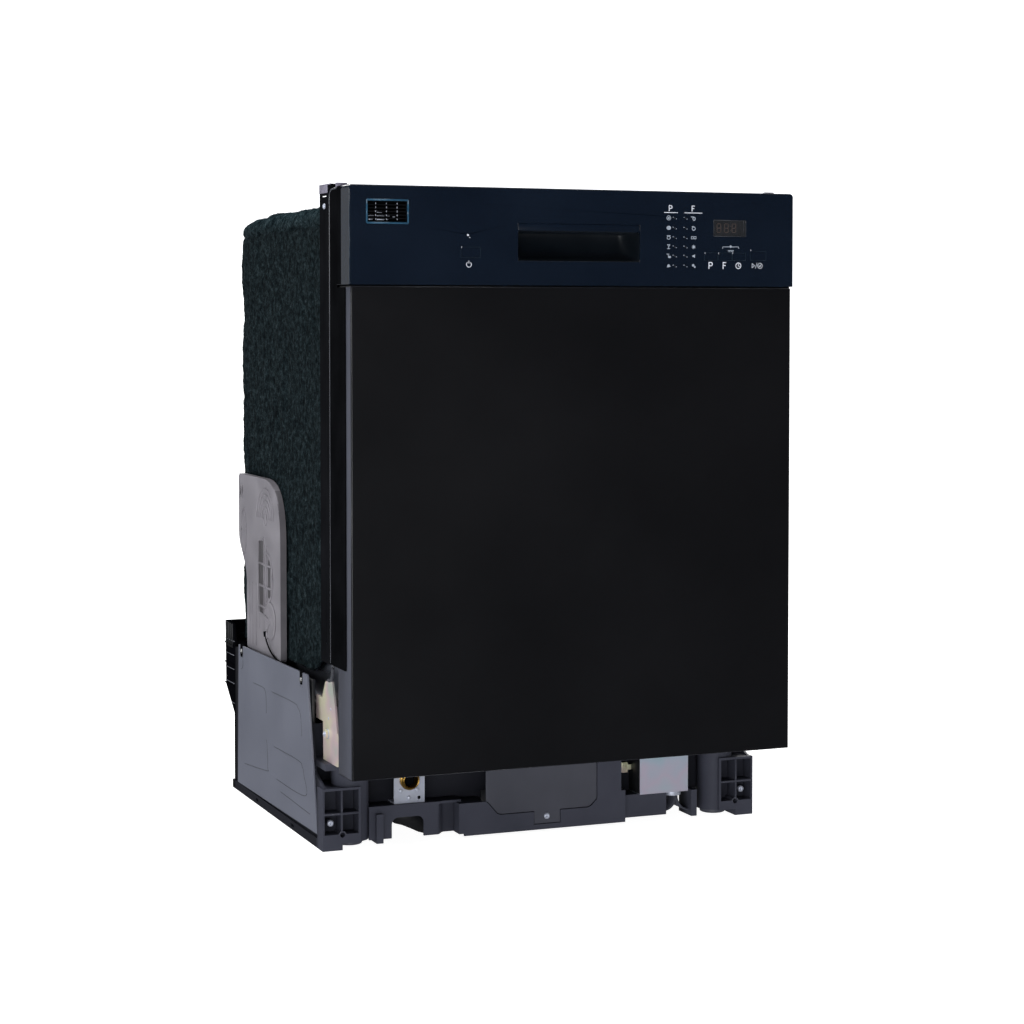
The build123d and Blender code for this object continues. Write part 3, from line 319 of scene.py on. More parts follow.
def soften_edges(name, width):
    """Rounded edges on a CAD piece, by modifiers only."""
    node = nodes[name]
    weld = node.modifiers.new("weld", "WELD")
    weld.merge_threshold = 0.00002
    bevel = node.modifiers.new("bevel", "BEVEL")
    bevel.width = width * MM
    bevel.segments = 2
    bevel.limit_method = "ANGLE"
    bevel.angle_limit = math.radians(38)
    node.modifiers.new("normals", "WEIGHTED_NORMAL")


edge_width = {"base_tray": 0.45, "access_cover": 0.5, "side_cover_left": 0.35, "side_cover_right": 0.35,
              "tub_front_frame": 0.3, "side_trims": 0.6, "control_panel": 0.35, "junction_box": 0.5,
              "inlet_bracket": 0.3, "inlet_elbow": 0.5, "hinge_brackets": 0.4, "vent_grille": 0.25,
              "dispenser_body": 0.5, "dispenser_lid": 0.4, "latch_housing": 0.4, "conduit_clamp": 0.6}
for name, width in edge_width.items():
    soften_edges(name, width)


# ---------------------------------------------------------------- piece builders
def add_piece(name, mesh, material, body, smooth=True):
    """An object from a mesh, riding on a body."""
    mesh.materials.clear()
    mesh.materials.append(material)
    if smooth:
        mesh.shade_smooth()
    piece = bpy.data.objects.new(name, mesh)
    scene.collection.objects.link(piece)
    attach(piece, body)
    return piece


def shown(name, material, body, smooth=True):
    """Turns a function that fills a bmesh into the piece it builds."""
    def make(build):
        bm = bmesh.new()
        build(bm)
        bmesh.ops.recalc_face_normals(bm, faces=bm.faces)
        mesh = bpy.data.meshes.new(name)
        bm.to_mesh(mesh)
        bm.free()
        return add_piece(name, mesh, material, body, smooth)
    return make


def add_wall(bm, lower, upper):
    """Faces between two rings of vertices."""
    for i in range(len(lower)):
        after = (i + 1) % len(lower)
        bm.faces.new((lower[i], lower[after], upper[after], upper[i]))


def add_sheet(bm, rows):
    """Faces between open rows of vertices."""
    for row, following in zip(rows, rows[1:]):
        for i in range(len(row) - 1):
            bm.faces.new((row[i], row[i + 1], following[i + 1], following[i]))


def add_plate(bm, front, back):
    """A flat plate between two outlines in the frame, open at the back: its face and its back vertices."""
    edge = [bm.verts.new(place) for place in front]
    rear = [bm.verts.new(place) for place in back]
    face = bm.faces.new(edge)
    add_wall(bm, rear, edge)
    return face, rear


def arc_points(centre, radii, start=0, end=360, steps=20, closed=False):
    """(a, b) points along an arc, in degrees; a closed one leaves out the last point."""
    angles = [math.radians(start + (end - start) * i / steps) for i in range(steps + (not closed))]
    return [(centre[0] + radii[0] * math.cos(a), centre[1] + radii[1] * math.sin(a)) for a in angles]


def rounded_outline(corners, steps=6):
    """(a, b) points of a polygon whose corners, (a, b, radius), are rounded."""
    made = []
    count = len(corners)
    for i, (a, b, radius) in enumerate(corners):
        here = Vector((a, b))
        before = (Vector(corners[i - 1][:2]) - here).normalized()
        after = (Vector(corners[(i + 1) % count][:2]) - here).normalized()
        cut = radius / math.tan(before.angle(after) / 2)
        start = here + before * cut
        end = here + after * cut
        for step in range(steps + 1):
            share = step / steps
            curve = (1 - share) ** 2 * start + 2 * share * (1 - share) * here + share ** 2 * end
            made.append((curve.x, curve.y))
    return made


def curve_points(controls, steps=10):
    """Points of a smooth line through the controls."""
    made = []
    for i in range(len(controls) - 1):
        a = controls[max(i - 1, 0)]
        b = controls[i]
        c = controls[i + 1]
        d = controls[min(i + 2, len(controls) - 1)]
        for step in range(steps):
            t = step / steps
            squared = (2 * a - 5 * b + 4 * c - d) * t * t
            cubed = (3 * b - a - 3 * c + d) * t ** 3
            made.append(0.5 * (2 * b + (c - a) * t + squared + cubed))
    made.append(controls[-1])
    return made


def add_tube(bm, path, radius, sides=8, closed=False):
    """A round tube along points in the frame."""
    count = len(path)
    circle = arc_points((0, 0), (radius * MM, radius * MM), steps=sides, closed=True)
    rings = []
    for i, centre in enumerate(path):
        if closed:
            along = path[(i + 1) % count] - path[i - 1]
        else:
            along = path[min(i + 1, count - 1)] - path[max(i - 1, 0)]
        turn = along.to_track_quat("Z", "Y").to_matrix()
        rings.append([bm.verts.new(centre + turn @ Vector((x, y, 0))) for x, y in circle])
    for lower, upper in zip(rings, rings[1:]):
        add_wall(bm, lower, upper)
    if closed:
        add_wall(bm, rings[-1], rings[0])
    else:
        bm.faces.new(rings[0][::-1])
        bm.faces.new(rings[-1])


def add_frame(bm, low, high, radius, sides):
    """Four tubes round a rectangle that stands upright at the depth of low."""
    outline = ((low.x, low.z), (high.x, low.z), (high.x, high.z), (low.x, high.z))
    corners = [Vector((x, low.y, z)) for x, z in outline]
    for start, end in zip(corners, corners[1:] + corners[:1]):
        add_tube(bm, [start, end], radius, sides)


def add_rounded_box(bm, low, high, radius, segments=2):
    """A box with rounded edges between two corners in the frame."""
    middle = (low + high) / 2
    size = high - low
    made = bmesh.ops.create_cube(bm, size=1, matrix=Matrix.Translation(middle) @ Matrix.Diagonal((*size, 1)))
    edges = {edge for vert in made["verts"] for edge in vert.link_edges}
    bmesh.ops.bevel(bm, geom=list(edges), offset=radius * MM, segments=segments, affect="EDGES", profile=0.5)


def add_side_boxes(bm, near, far, low, high, radius, segments=1):
    """A rounded box on each side, from x = near to far, between two (depth, z) corners."""
    for side in SIDES:
        a, b = sorted((side * near, side * far))
        add_rounded_box(bm, point(a, *low), point(b, *high), radius, segments)


def facing(centre, direction):
    """A matrix at centre whose Z points along direction."""
    turn = Vector(direction).to_track_quat("Z", "Y").to_matrix().to_4x4()
    return Matrix.Translation(centre) @ turn


def add_turned(bm, profile, centre, direction, sides=28):
    """A turned form about an axis: profile is (radius, height) pairs."""
    place = facing(centre, direction)
    rings = []
    for radius, height in profile:
        circle = arc_points((0, 0), (radius * MM, radius * MM), steps=sides, closed=True)
        rings.append([bm.verts.new(place @ Vector((x, y, height * MM))) for x, y in circle])
    for lower, upper in zip(rings, rings[1:]):
        add_wall(bm, lower, upper)
    bm.faces.new(rings[0][::-1])
    bm.faces.new(rings[-1])


def screw_head(bm, centre, direction, radius):
    """A pan head with a cross recess, pressed into a fine dome; its radius is in metres."""
    place = facing(centre, direction)
    rings = 10
    sides = 48
    arm = 0.2 * radius
    rows = []
    for ring in range(1, rings + 1):
        reach = radius * ring / rings
        row = []
        for side in range(sides):
            angle = 2 * math.pi * side / sides
            x = reach * math.cos(angle)
            y = reach * math.sin(angle)
            z = 0.62 * radius * math.sqrt(max(0.0, 1 - (reach / radius) ** 2.6))
            if reach < 0.62 * radius and (abs(x) < arm or abs(y) < arm):
                z -= 0.38 * radius * (1 - reach / (0.7 * radius))
            row.append(bm.verts.new(place @ Vector((x, y, z))))
        rows.append(row)
    rim = arc_points((0, 0), (radius, radius), steps=sides, closed=True)
    rows.append([bm.verts.new(place @ Vector((x, y, -0.25 * radius))) for x, y in rim])
    for lower, upper in zip(rows, rows[1:]):
        add_wall(bm, lower, upper)
    middle = bm.verts.new(place @ Vector((0, 0, (0.62 - 0.38) * radius)))
    for side in range(sides):
        bm.faces.new((middle, rows[0][side], rows[0][(side + 1) % sides]))


# ---------------------------------------------------------------- felt blanket
felt_low, felt_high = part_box("insulation_blanket")
FELT_CORNER = 24 * MM
FELT_BACK_ROUND = 18 * MM
FELT_THICK = 4 * MM
SEAM_DROP = 27 * MM
SEAM_DEPTH = 5.2 * MM
FOLD_DEPTH = 4.5 * MM
# painted light: the shoulder above the seam is painted paler towards the top of the blanket
painted_light_ramp(felt_material, "Z", felt_high.z - 0.032, felt_high.z - 0.010, 2.3)


def felt_top(y):
    """Height of the blanket's top at a distance from front to back: level, then falling to the back."""
    share = (y - felt_low.y) / (felt_high.y - felt_low.y)
    return felt_high.z - 0.002 * share - 0.004 * max(0.0, share - 0.7) / 0.3


def felt_bottom(y):
    """Height of its lower edge: it rises at the front, where it is tapered."""
    reach = (y - felt_low.y) / 0.09
    return felt_low.z + 0.050 * max(0.0, 1 - reach) ** 1.3


def felt_surface(u, v):
    """Point and outward direction of the outer face: u runs over left, top and right, v to the back."""
    y = felt_low.y + v * (felt_high.y - felt_low.y)
    top = felt_top(y) - 0.002
    half = felt_high.x - 0.001
    low = felt_bottom(y)
    side_length = top - FELT_CORNER - low
    arc = FELT_CORNER * math.pi / 2
    across = 2 * (half - FELT_CORNER)
    run = u * (2 * side_length + 2 * arc + across)
    if run < side_length:
        return Vector((-half, y, low + run)), Vector((-1, 0, 0))
    run -= side_length
    if run < arc:
        angle = run / FELT_CORNER
        out = Vector((-math.cos(angle), 0, math.sin(angle)))
        return Vector((-half + FELT_CORNER, y, top - FELT_CORNER)) + FELT_CORNER * out, out
    run -= arc
    if run < across:
        return Vector((-half + FELT_CORNER + run, y, top)), Vector((0, 0, 1))
    run -= across
    if run < arc:
        angle = math.pi / 2 - run / FELT_CORNER
        out = Vector((math.cos(angle), 0, math.sin(angle)))
        return Vector((half - FELT_CORNER, y, top - FELT_CORNER)) + FELT_CORNER * out, out
    run -= arc
    return Vector((half, y, top - FELT_CORNER - run)), Vector((1, 0, 0))


def felt_relief(place):
    """How far the wadding stands out at a place: slow waves, clumps and tufts."""
    waves = noise.noise(place * 13) * 0.0026
    upright = Vector((place.x, place.y, place.z * 0.55))
    folds = max(0.0, 1 - 3.2 * abs(noise.noise(upright * 17))) ** 2 * 0.0030
    clumps = noise.fractal(upright * 95, 0.8, 2.1, 3) * 0.0016
    tufts = abs(noise.noise(upright * 240)) * 0.0014
    return max(-0.0055, waves + clumps - tufts - folds)


def felt_creases(place, out):
    """How far it is drawn in: along a broken seam under the top edge, and at one long upright fold."""
    fold = FOLD_DEPTH * math.exp(-((place.y - 0.034) / 0.009) ** 2 - ((place.z - 0.570) / 0.060) ** 2)
    if abs(out.x) <= 0.5:
        return fold
    wander = 0.005 * noise.noise(Vector((place.x * 4, place.y * 30, 3.0)))
    seam = place.z - (felt_top(place.y) - SEAM_DROP + wander)
    broken = 0.5 + 0.9 * noise.noise(Vector((7.0, place.y * 55, place.x * 3)))
    return fold + SEAM_DEPTH * max(0.0, broken) * math.exp(-(seam / 0.0027) ** 2)


@shown("felt_blanket", felt_material, "cabinet")
def felt(bm):
    """Outer face wrapped over sides and top, then the back, each a dense sheet."""
    across, along, back_rows = ((760, 200, 150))
    grid = []
    for i in range(across + 1):
        row = []
        for j in range(along + 1):
            place, out = felt_surface(i / across, j / along)
            to_back = (1 - j / along) * (felt_high.y - felt_low.y)
            past = max(0.0, FELT_BACK_ROUND - to_back)
            inset = FELT_BACK_ROUND - math.sqrt(FELT_BACK_ROUND ** 2 - past ** 2)
            stand = felt_relief(place) - felt_creases(place, out) - inset
            row.append(bm.verts.new(place + out * stand))
        grid.append(row)
    add_sheet(bm, grid)
    columns = 150
    half = felt_high.x - 0.014
    low = felt_low.z + 0.024
    top = felt_top(felt_high.y) - 0.012
    sheet = []
    for r in range(back_rows + 1):
        z = low + (top - low) * r / back_rows
        row = []
        for c in range(columns + 1):
            x = half * (2 * c / columns - 1)
            place = Vector((x, felt_high.y - 0.0020, z))
            edge = min(1.0, (half - abs(x)) / 0.012, (top - z) / 0.012 + 0.001)
            drop = 0.006 * (1 - max(0.0, edge)) ** 2
            row.append(bm.verts.new(place + Vector((0, felt_relief(place) - drop, 0))))
        sheet.append(row)
    add_sheet(bm, sheet)


felt_wall = felt.modifiers.new("thickness", "SOLIDIFY")
felt_wall.thickness = FELT_THICK
felt_wall.offset = -1
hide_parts("insulation_blanket")


@shown("felt_fibres", felt_material, "cabinet")
def fibres(bm):
    """Loose fibres that stand out of the wadding."""
    picker = random.Random(11)
    for _ in range(9000):
        u = picker.random()
        if picker.random() < 0.6:
            u = picker.uniform(0.0, 0.42)
        root, out = felt_surface(u, picker.random())
        root += out * (felt_relief(root) - 0.0005)
        lean = Vector((picker.uniform(-1, 1), picker.uniform(-1, 1), picker.uniform(-1, 1)))
        length = picker.uniform(0.002, 0.0075)
        tip = root + (out * 0.55 + lean * 0.7).normalized() * length
        middle = (root + tip) / 2 + lean.cross(out) * 0.0012
        width = out.cross(lean).normalized() * picker.uniform(0.00008, 0.00018)
        stations = []
        for place, share in ((root, 1.0), (middle, 0.8), (tip, 0.2)):
            stations.append((bm.verts.new(place - width * share), bm.verts.new(place + width * share)))
        add_sheet(bm, stations)


# ---------------------------------------------------------------- printed marks on the control panel
INK_DEPTH = -0.12
INK_STEP = 0.004


class Marks:
    """Flat printed strokes on the face of the control panel, drawn in (x, z) millimetres about an origin."""

    def __init__(self):
        self.bm = bmesh.new()
        self.count = 0
        self.origin = Vector((0, 0))

    def at(self, x, z):
        """Moves the origin of what is drawn next."""
        self.origin = Vector((x, z))

    def patch(self, corners):
        """A filled outline, a step deeper or shallower than the one before, so that none share a plane."""
        self.count += 1
        depth = INK_DEPTH - INK_STEP * (self.count % 12)
        places = [self.origin + Vector(corner) for corner in corners]
        add_plate(self.bm, [point(x, depth, z) for x, z in places], [point(x, 0.05, z) for x, z in places])

    def stroke(self, path, width):
        """A line of patches that reach a little past each other's ends."""
        for start, end in zip(path, path[1:]):
            a = Vector(start)
            b = Vector(end)
            along = (b - a).normalized() * width
            aside = Vector((-along.y, along.x)) / 2
            reach = along * 0.3
            self.patch([a - reach + aside, a - reach - aside, b + reach - aside, b + reach + aside])

    def arc(self, x, z, radius, width, start=0, end=360, squeeze=1.0):
        steps = max(6, int(abs(end - start) / 18))
        self.stroke(arc_points((x, z), (radius * squeeze, radius), start, end, steps), width)

    def disc(self, x, z, radius, squeeze=1.0, sides=18):
        self.patch(arc_points((x, z), (radius * squeeze, radius), steps=sides, closed=True))

    def letter_p(self, x, z, height, width):
        top = z + height / 2
        bowl = height * 0.27
        stem = x - height * 0.28
        turn = x + height * 0.05
        self.stroke([(stem, z - height / 2), (stem, top)], width)
        self.stroke([(stem, top), (turn, top)], width)
        self.stroke([(stem, top - 2 * bowl), (turn, top - 2 * bowl)], width)
        self.arc(turn, top - bowl, bowl, width, 90, -90)

    def letter_f(self, x, z, height, width):
        top = z + height / 2
        middle = z + 0.02 * height
        stem = x - height * 0.24
        self.stroke([(stem, z - height / 2), (stem, top)], width)
        self.stroke([(stem, top), (stem + height * 0.52, top)], width)
        self.stroke([(stem, middle), (stem + height * 0.42, middle)], width)

    def show(self, name, material):
        """Closes the drawing as a piece on the door; its faces keep the order they were drawn in."""
        mesh = bpy.data.meshes.new(name)
        self.bm.to_mesh(mesh)
        self.bm.free()
        add_piece(name, mesh, material, "door", smooth=False)


bright = Marks()
bright.letter_p(124, 800.6, 6.6, 1.1)
bright.letter_f(155.6, 800.6, 6.6, 1.1)
bright.stroke([(115.5, 795.2), (134.0, 795.2)], 0.9)
bright.stroke([(143.5, 795.2), (168.0, 795.2)], 0.9)
bright.letter_p(180.2, 729.4, 7.8, 1.25)
bright.letter_f(199.8, 729.4, 7.8, 1.25)
bright.arc(219.6, 729.4, 3.6, 1.0)
bright.stroke([(219.6, 731.8), (219.6, 729.2), (221.4, 728.2)], 0.8)
bright.stroke([(239.2, 732.4), (239.2, 727.0), (242.8, 729.7), (239.2, 732.4)], 0.55)
bright.stroke([(243.8, 726.2), (246.2, 733.0)], 0.5)
bright.arc(250.6, 729.6, 3.3, 0.6)
bright.stroke([(249.0, 729.8), (250.2, 728.2), (252.6, 731.6)], 0.6)
bright.arc(-146.2, 727.8, 3.2, 0.75, 130, 410)
bright.stroke([(-146.2, 729.2), (-146.2, 732.4)], 0.7)
bright.disc(-147.5, 763.4, 1.25)
# the small dot below right of the power light is a painted reflection
bright.disc(-145.2, 760.6, 0.55)
# painted highlights: short bright ticks at the buttons' top edges
for glint_x, glint_z in ((172.4, 745.2), (191.6, 745.0), (211.4, 745.2), (237.2, 749.2), (-155.6, 748.6)):
    bright.stroke([(glint_x, glint_z - 0.9), (glint_x, glint_z + 0.9)], 0.5)
bright.show("panel_letters", ink)

rows = (788.5, 776.0, 764.0, 752.5, 741.0, 728.6)
fainter = Marks()
# at each indicator light, the dot below right of the light's dot is a painted reflection
for light_z in rows:
    for light_x in (130.0, 145.0):
        fainter.disc(light_x - 2.2, light_z + 0.9, 0.62, sides=10)
        fainter.disc(light_x + 2.1, light_z - 1.1, 0.55, sides=10)
fainter.stroke([(197.0, 751.2), (197.8, 753.2), (219.4, 753.2), (220.2, 751.2)], 0.8)
fainter.disc(208.6, 753.6, 1.5)
fainter.stroke([(204.8, 748.6), (212.6, 748.6)], 0.9)
fainter.stroke([(205.4, 747.2), (208.0, 747.2)], 0.7)
fainter.stroke([(209.4, 747.2), (212.0, 747.2)], 0.7)
# programmes: automatic, pots, everyday, glass, quick, rinse
PROGRAMME_X = 121.6
fainter.at(PROGRAMME_X, rows[0])
fainter.arc(0, 0, 2.6, 0.8)
fainter.patch([(-1.3, -1.2), (1.3, -1.2), (1.3, 0.9), (-1.3, 0.9)])
fainter.at(PROGRAMME_X, rows[1])
fainter.disc(0, 0, 2.5, 1.25)
fainter.at(PROGRAMME_X, rows[2])
fainter.stroke([(-2.4, 2.3), (2.4, 2.3)], 0.7)
fainter.arc(0, -0.3, 1.9, 0.8, squeeze=1.15)
fainter.at(PROGRAMME_X, rows[3])
fainter.stroke([(-1.6, 2.6), (1.6, 2.6), (0, 0.2), (-1.6, 2.6)], 0.8)
fainter.stroke([(0, 0), (0, -2.4)], 0.9)
fainter.stroke([(-1.8, -2.6), (1.8, -2.6)], 0.8)
fainter.at(PROGRAMME_X, rows[4])
fainter.stroke([(-2.6, 2.2), (0.6, 2.2)], 0.8)
fainter.stroke([(-1.0, 1.6), (-0.2, -0.8)], 0.8)
fainter.disc(1.2, -1.4, 1.5, 1.4)
fainter.at(PROGRAMME_X, rows[5])
fainter.disc(0, 0, 1.9)
fainter.stroke([(-2.4, -1.6), (2.4, -0.8)], 0.8)
# options: extra dry, turbo, half load, hygiene, quiet, sensor
OPTION_X = 156.4
fainter.at(OPTION_X, rows[0])
fainter.stroke([(-3.6, 1.7), (-0.4, 1.7)], 1.0)
fainter.arc(0.4, -0.6, 2.0, 1.1, squeeze=0.8)
fainter.at(OPTION_X, rows[1])
fainter.arc(0, -0.4, 2.1, 1.0)
fainter.stroke([(-2.4, 2.0), (-0.8, 2.0)], 1.0)
for shift in (-1.9, 1.9):
    fainter.at(OPTION_X + shift, rows[2])
    fainter.stroke([(-1.4, 1.5), (1.4, 1.5), (1.4, -1.3), (-1.4, -1.3), (-1.4, 1.5)], 0.7)
fainter.at(OPTION_X, rows[3])
fainter.disc(0, 0, 1.7)
for spoke in range(8):
    around = Vector((math.cos(math.pi * spoke / 4), math.sin(math.pi * spoke / 4)))
    fainter.stroke([2.0 * around, 2.6 * around], 0.5)
fainter.at(OPTION_X, rows[4])
fainter.patch([(-2.4, 0), (1.8, -2.2), (1.8, 2.2)])
fainter.at(OPTION_X, rows[5])
fainter.disc(-0.6, 0.8, 1.6)
fainter.disc(1.6, -1.4, 1.2)
fainter.show("panel_icons", dim_ink)

BUTTON_INSET = 1.6
button_edges = Marks()
for button_name in BUTTONS:
    low, high = (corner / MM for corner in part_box(button_name))
    low_z = low.z + BUTTON_INSET
    high_z = high.z - BUTTON_INSET
    outline = [(low.x, low_z), (high.x, low_z), (high.x, high_z), (low.x, high_z), (low.x, low_z)]
    button_edges.stroke(outline, 0.35)
button_edges.show("button_edges", faint_edge)

digits = Marks()
for digit_x in (191.8, 202.4, 213.0):
    for z0, z1 in ((777.4, 781.4), (772.2, 776.2)):
        for x in (digit_x - 2.6, digit_x + 2.6):
            digits.stroke([(x, z0), (x, z1)], 1.1)
    for z in (771.4, 776.8, 782.2):
        digits.stroke([(digit_x - 1.8, z), (digit_x + 1.8, z)], 1.1)
digits.disc(208.0, 779.4, 0.6)
digits.disc(208.0, 774.4, 0.6)
digits.show("display_digits", dim_digits)


@shown("display_edge", display_rim, "door")
def display_edge(bm):
    """Thin raised edge of the clear window, doubled on its right."""
    low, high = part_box("display_window")
    y = FRONT - 0.0001
    inset = 0.0004
    low = Vector((low.x + inset, y, low.z + inset))
    high = Vector((high.x - inset, y, high.z - inset))
    add_frame(bm, low, high, 0.32, 6)
    inner_x = high.x - 0.0032
    add_tube(bm, [Vector((inner_x, y, low.z)), Vector((inner_x, y, high.z))], 0.3, 6)


# ---------------------------------------------------------------- handle scoop
@shown("handle_scoop", scoop_plastic, "door")
def scoop(bm):
    """Hollow behind the upper lip: flat lip, shadow gap, then a scoop that rounds off at both ends."""
    half = 81.8
    end_round = 15.0
    reach = 35.0
    columns = 72
    arc_steps = 16
    lip = [(0.5, 778.9), (4.4, 778.2), (4.6, 771.2), (5.0, 769.6), (6.5, 769.0)]
    sheet = []
    for c in range(columns + 1):
        x = -half + 2 * half * c / columns
        past = max(0.0, abs(x) - (half - end_round)) / end_round
        keep = math.sqrt(max(0.0, 1 - past * past))
        profile = list(lip)
        for a in range(arc_steps + 1):
            angle = math.pi / 2 * a / arc_steps
            profile.append((1.2 + (reach * math.cos(angle) + 0.001) * keep, 768.5 - reach * math.sin(angle)))
        profile.append((0.5, 733.1))
        sheet.append([bm.verts.new(point(x, depth, z)) for depth, z in profile])
    add_sheet(bm, sheet)


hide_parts("handle_pocket")


@shown("handle_lip", fascia_gloss, "door")
def handle_lip(bm):
    """Flat glossy lip across the top of the handle opening."""
    add_rounded_box(bm, point(-81.6, 0.7, 770), point(81.6, 3.4, 778.8), 0.5, 2)


@shown("handle_glints", display_rim, "door")
def handle_glints(bm):
    """Painted highlights on the corners at both ends of the handle opening."""
    for side in SIDES:
        for low_z, high_z in ((772, 778.6), (733.4, 735.5)):
            add_tube(bm, [point(side * 81.9, 0.3, low_z), point(side * 81.9, 0.3, high_z)], 0.4, 6)


# ---------------------------------------------------------------- vent and door seams
vent_low, vent_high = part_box("vent_grille")


@shown("vent_frame", vent_blue, "door")
def vent_frame(bm):
    """Raised frame round the vent."""
    y = FRONT + 0.0002
    inset = 0.0010
    low = Vector((vent_low.x + inset, y, vent_low.z + inset))
    high = Vector((vent_high.x - inset, y, vent_high.z - inset))
    add_frame(bm, low, high, 1.2, 8)


@shown("vent_glints", zinc, "door")
def vent_glints(bm):
    """Bright spots where light catches the bars and the parts behind them, and the lit left edge."""
    width = vent_high.x - vent_low.x
    height = vent_high.z - vent_low.z
    for column in (1, 2, 3):
        for row in range(5):
            x = vent_low.x + column * width / 4 - 0.001
            z = vent_high.z - 0.0045 - row * 0.0047
            top = Vector((x, FRONT + 0.0012, z))
            add_tube(bm, [top, top - Vector((0, 0, 0.0018))], 0.5, 6)
    spots = ((0.12, 0.25, 0.36), (0.30, 0.62, 0.36), (0.30, 0.58, 0.20), (0.12, 0.22, 0.20),
             (0.68, 0.78, 0.28), (0.30, 0.44, 0.50))
    for low_share, high_share, up_share in spots:
        z = vent_low.z + up_share * height
        low = Vector((vent_low.x + low_share * width, FRONT + 0.0104, z - 0.0013))
        high = Vector((vent_low.x + high_share * width, FRONT + 0.0116, z + 0.0013))
        add_rounded_box(bm, low, high, 0.3, 1)
    x = vent_low.x + 0.0004
    add_tube(bm, [Vector((x, FRONT, vent_low.z + 0.012)), Vector((x, FRONT, vent_high.z - 0.001))], 0.4, 6)


@shown("vent_shade_sheet", black_rubber, "door")
def vent_shade_sheet(bm):
    """Black sheet behind the vent's bars: painted shade inside the vent."""
    low = vent_low + Vector((0.001, 0.0118, 0.001))
    high = vent_high + Vector((-0.001, 0.002, -0.001))
    add_rounded_box(bm, low, high, 0.3, 1)


@shown("panel_seam_shade", black_rubber, "door")
def panel_seam_shade(bm):
    """Dark strip in the seam between the control panel and the door sheet: painted shade in the gap."""
    add_rounded_box(bm, point(-295.4, 4.5, 700.2), point(295.4, 38, 703.6), 0.3, 1)


@shown("panel_side_shade", black_rubber, "door")
def panel_side_shade(bm):
    """Black film on the rear part of the panel's sides, where the trims run beside it: painted shade."""
    add_side_boxes(bm, 298.3, 298.7, (31, 703.4), (47, 821.4), 0.1)


@shown("door_side_reflection_film", door_side_reflection, "door")
def door_side_reflection_film(bm):
    """Grey film on the two narrow sides of the door: a painted reflection on their black paint."""
    low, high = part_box("door_outer_panel")
    for side in SIDES:
        a, b = sorted((side * (high.x + 0.00003), side * (high.x + 0.0002)))
        near = Vector((a, low.y + 0.002, low.z + 0.001))
        add_rounded_box(bm, near, Vector((b, high.y - 0.001, high.z - 0.001)), 0.05, 1)


@shown("panel_edges", faint_edge, "door")
def panel_edges(bm):
    """Faint lit lines down both sides of the panel's face."""
    for side in SIDES:
        add_tube(bm, [point(side * 297.3, 0.35, 706), point(side * 297.3, 0.35, 816)], 0.4, 6)


@shown("door_edge", edge_gloss, "door")
def door_edge(bm):
    """Fine lit edge round the front of the door sheet."""
    add_frame(bm, point(-295.2, 2.5, 107.9), point(295.2, 2.5, 700.6), 0.4, 6)


# ---------------------------------------------------------------- screws and rivets
@shown("pan_head_screws", zinc, "cabinet")
def screws(bm):
    """Pan heads where the CAD has its fixing screws; those of the side covers are a piece of their own."""
    for side in SIDES:
        screw_head(bm, point(side * 287, 117.6, 33), (0, -1, 0), 0.0042)
        screw_head(bm, point(side * 296.9, 102, 800), (side, 0, 0), 0.0036)
    screw_head(bm, point(2, 108.6, 21), (0, -1, 0), 0.0040)
    screw_head(bm, point(116.5, 139.8, 69), (0, -1, 0), 0.0032)


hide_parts("fixing_screws")


@shown("cover_screws", spring_steel, "cabinet")
def cover_screws(bm):
    """Two screws in each side cover."""
    for side in SIDES:
        for depth, z in ((490, 199.6), (200, 201.6)):
            screw_head(bm, point(side * 299.95, depth, z), (side, 0, 0), 0.0034)


@shown("plate_rivets", zinc, "cabinet")
def plate_rivets(bm):
    """Three domed rivets under the water inlet."""
    dome = [(2.9, 0), (2.9, 0.5), (2.5, 1.2), (1.7, 1.7), (0.6, 1.9)]
    for x, z in ((-192, 65), (-170, 65), (-181, 55.5)):
        add_turned(bm, dome, point(x, 124, z), (0, -1, 0), 20)


# ---------------------------------------------------------------- water inlet
@shown("inlet_fitting", brass, "cabinet")
def inlet(bm):
    """Brass elbow end: a collar, a threaded bore and the body behind the plate."""
    profile = [(11.0, 32.6), (11.0, 9.9), (12.4, 9.9), (12.8, 9.4), (12.8, 5.6), (12.3, 5.0), (11.0, 5.0),
               (11.0, 0.8), (10.4, 0.0), (9.7, 0.0)]
    for turn in range(9):
        profile += [(9.2, 0.8 + turn * 1.4), (8.5, 1.5 + turn * 1.4)]
    profile += [(6.6, 13.6), (6.6, 26.0)]
    add_turned(bm, profile, point(-181, 114, 79), (0, 1, 0), 40)


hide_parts("inlet_elbow")


@shown("inlet_throat", black_rubber, "cabinet")
def inlet_throat(bm):
    """Dark disc at the bottom of the bore."""
    add_turned(bm, [(8.3, 0), (8.3, 0.6), (5.5, 0.9)], point(-181, 126.5, 79), (0, -1, 0), 32)


# ---------------------------------------------------------------- air breaker
BREAKER_FACE = -292.8
BREAKER_BACK = -284.4


@shown("air_breaker_tank", pale_plastic, "cabinet", smooth=False)
def breaker(bm):
    """Flat moulded tank with a rounded edge; the channels on its face are a piece of their own."""
    corners = [(318, 206.2, 3), (318, 445.8, 80), (527, 445.8, 6), (527, 354, 30), (486, 312, 40),
               (485, 206.2, 3)]
    outline = rounded_outline(corners, 10)
    top, rear = add_plate(bm, [point(BREAKER_FACE, d, z) for d, z in outline],
                          [point(BREAKER_BACK, d, z) for d, z in outline])
    bm.faces.new(rear[::-1])
    bmesh.ops.bevel(bm, geom=list(top.edges), offset=2.2 * MM, segments=3, affect="EDGES", profile=0.5)


# its front edge lies in shade
breaker.data.materials.append(pale_shade)
for face in breaker.data.polygons:
    if face.normal.y < -0.6:
        face.material_index = 1
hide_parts("air_breaker")


def add_ridge(bm, line, share, sides, closed=False):
    """A raised line on the tank's face, from (depth, z) points, its radius a share of the usual one."""
    add_tube(bm, [point(BREAKER_FACE - 0.1, d, z) for d, z in line], 1.25 * share, sides, closed)


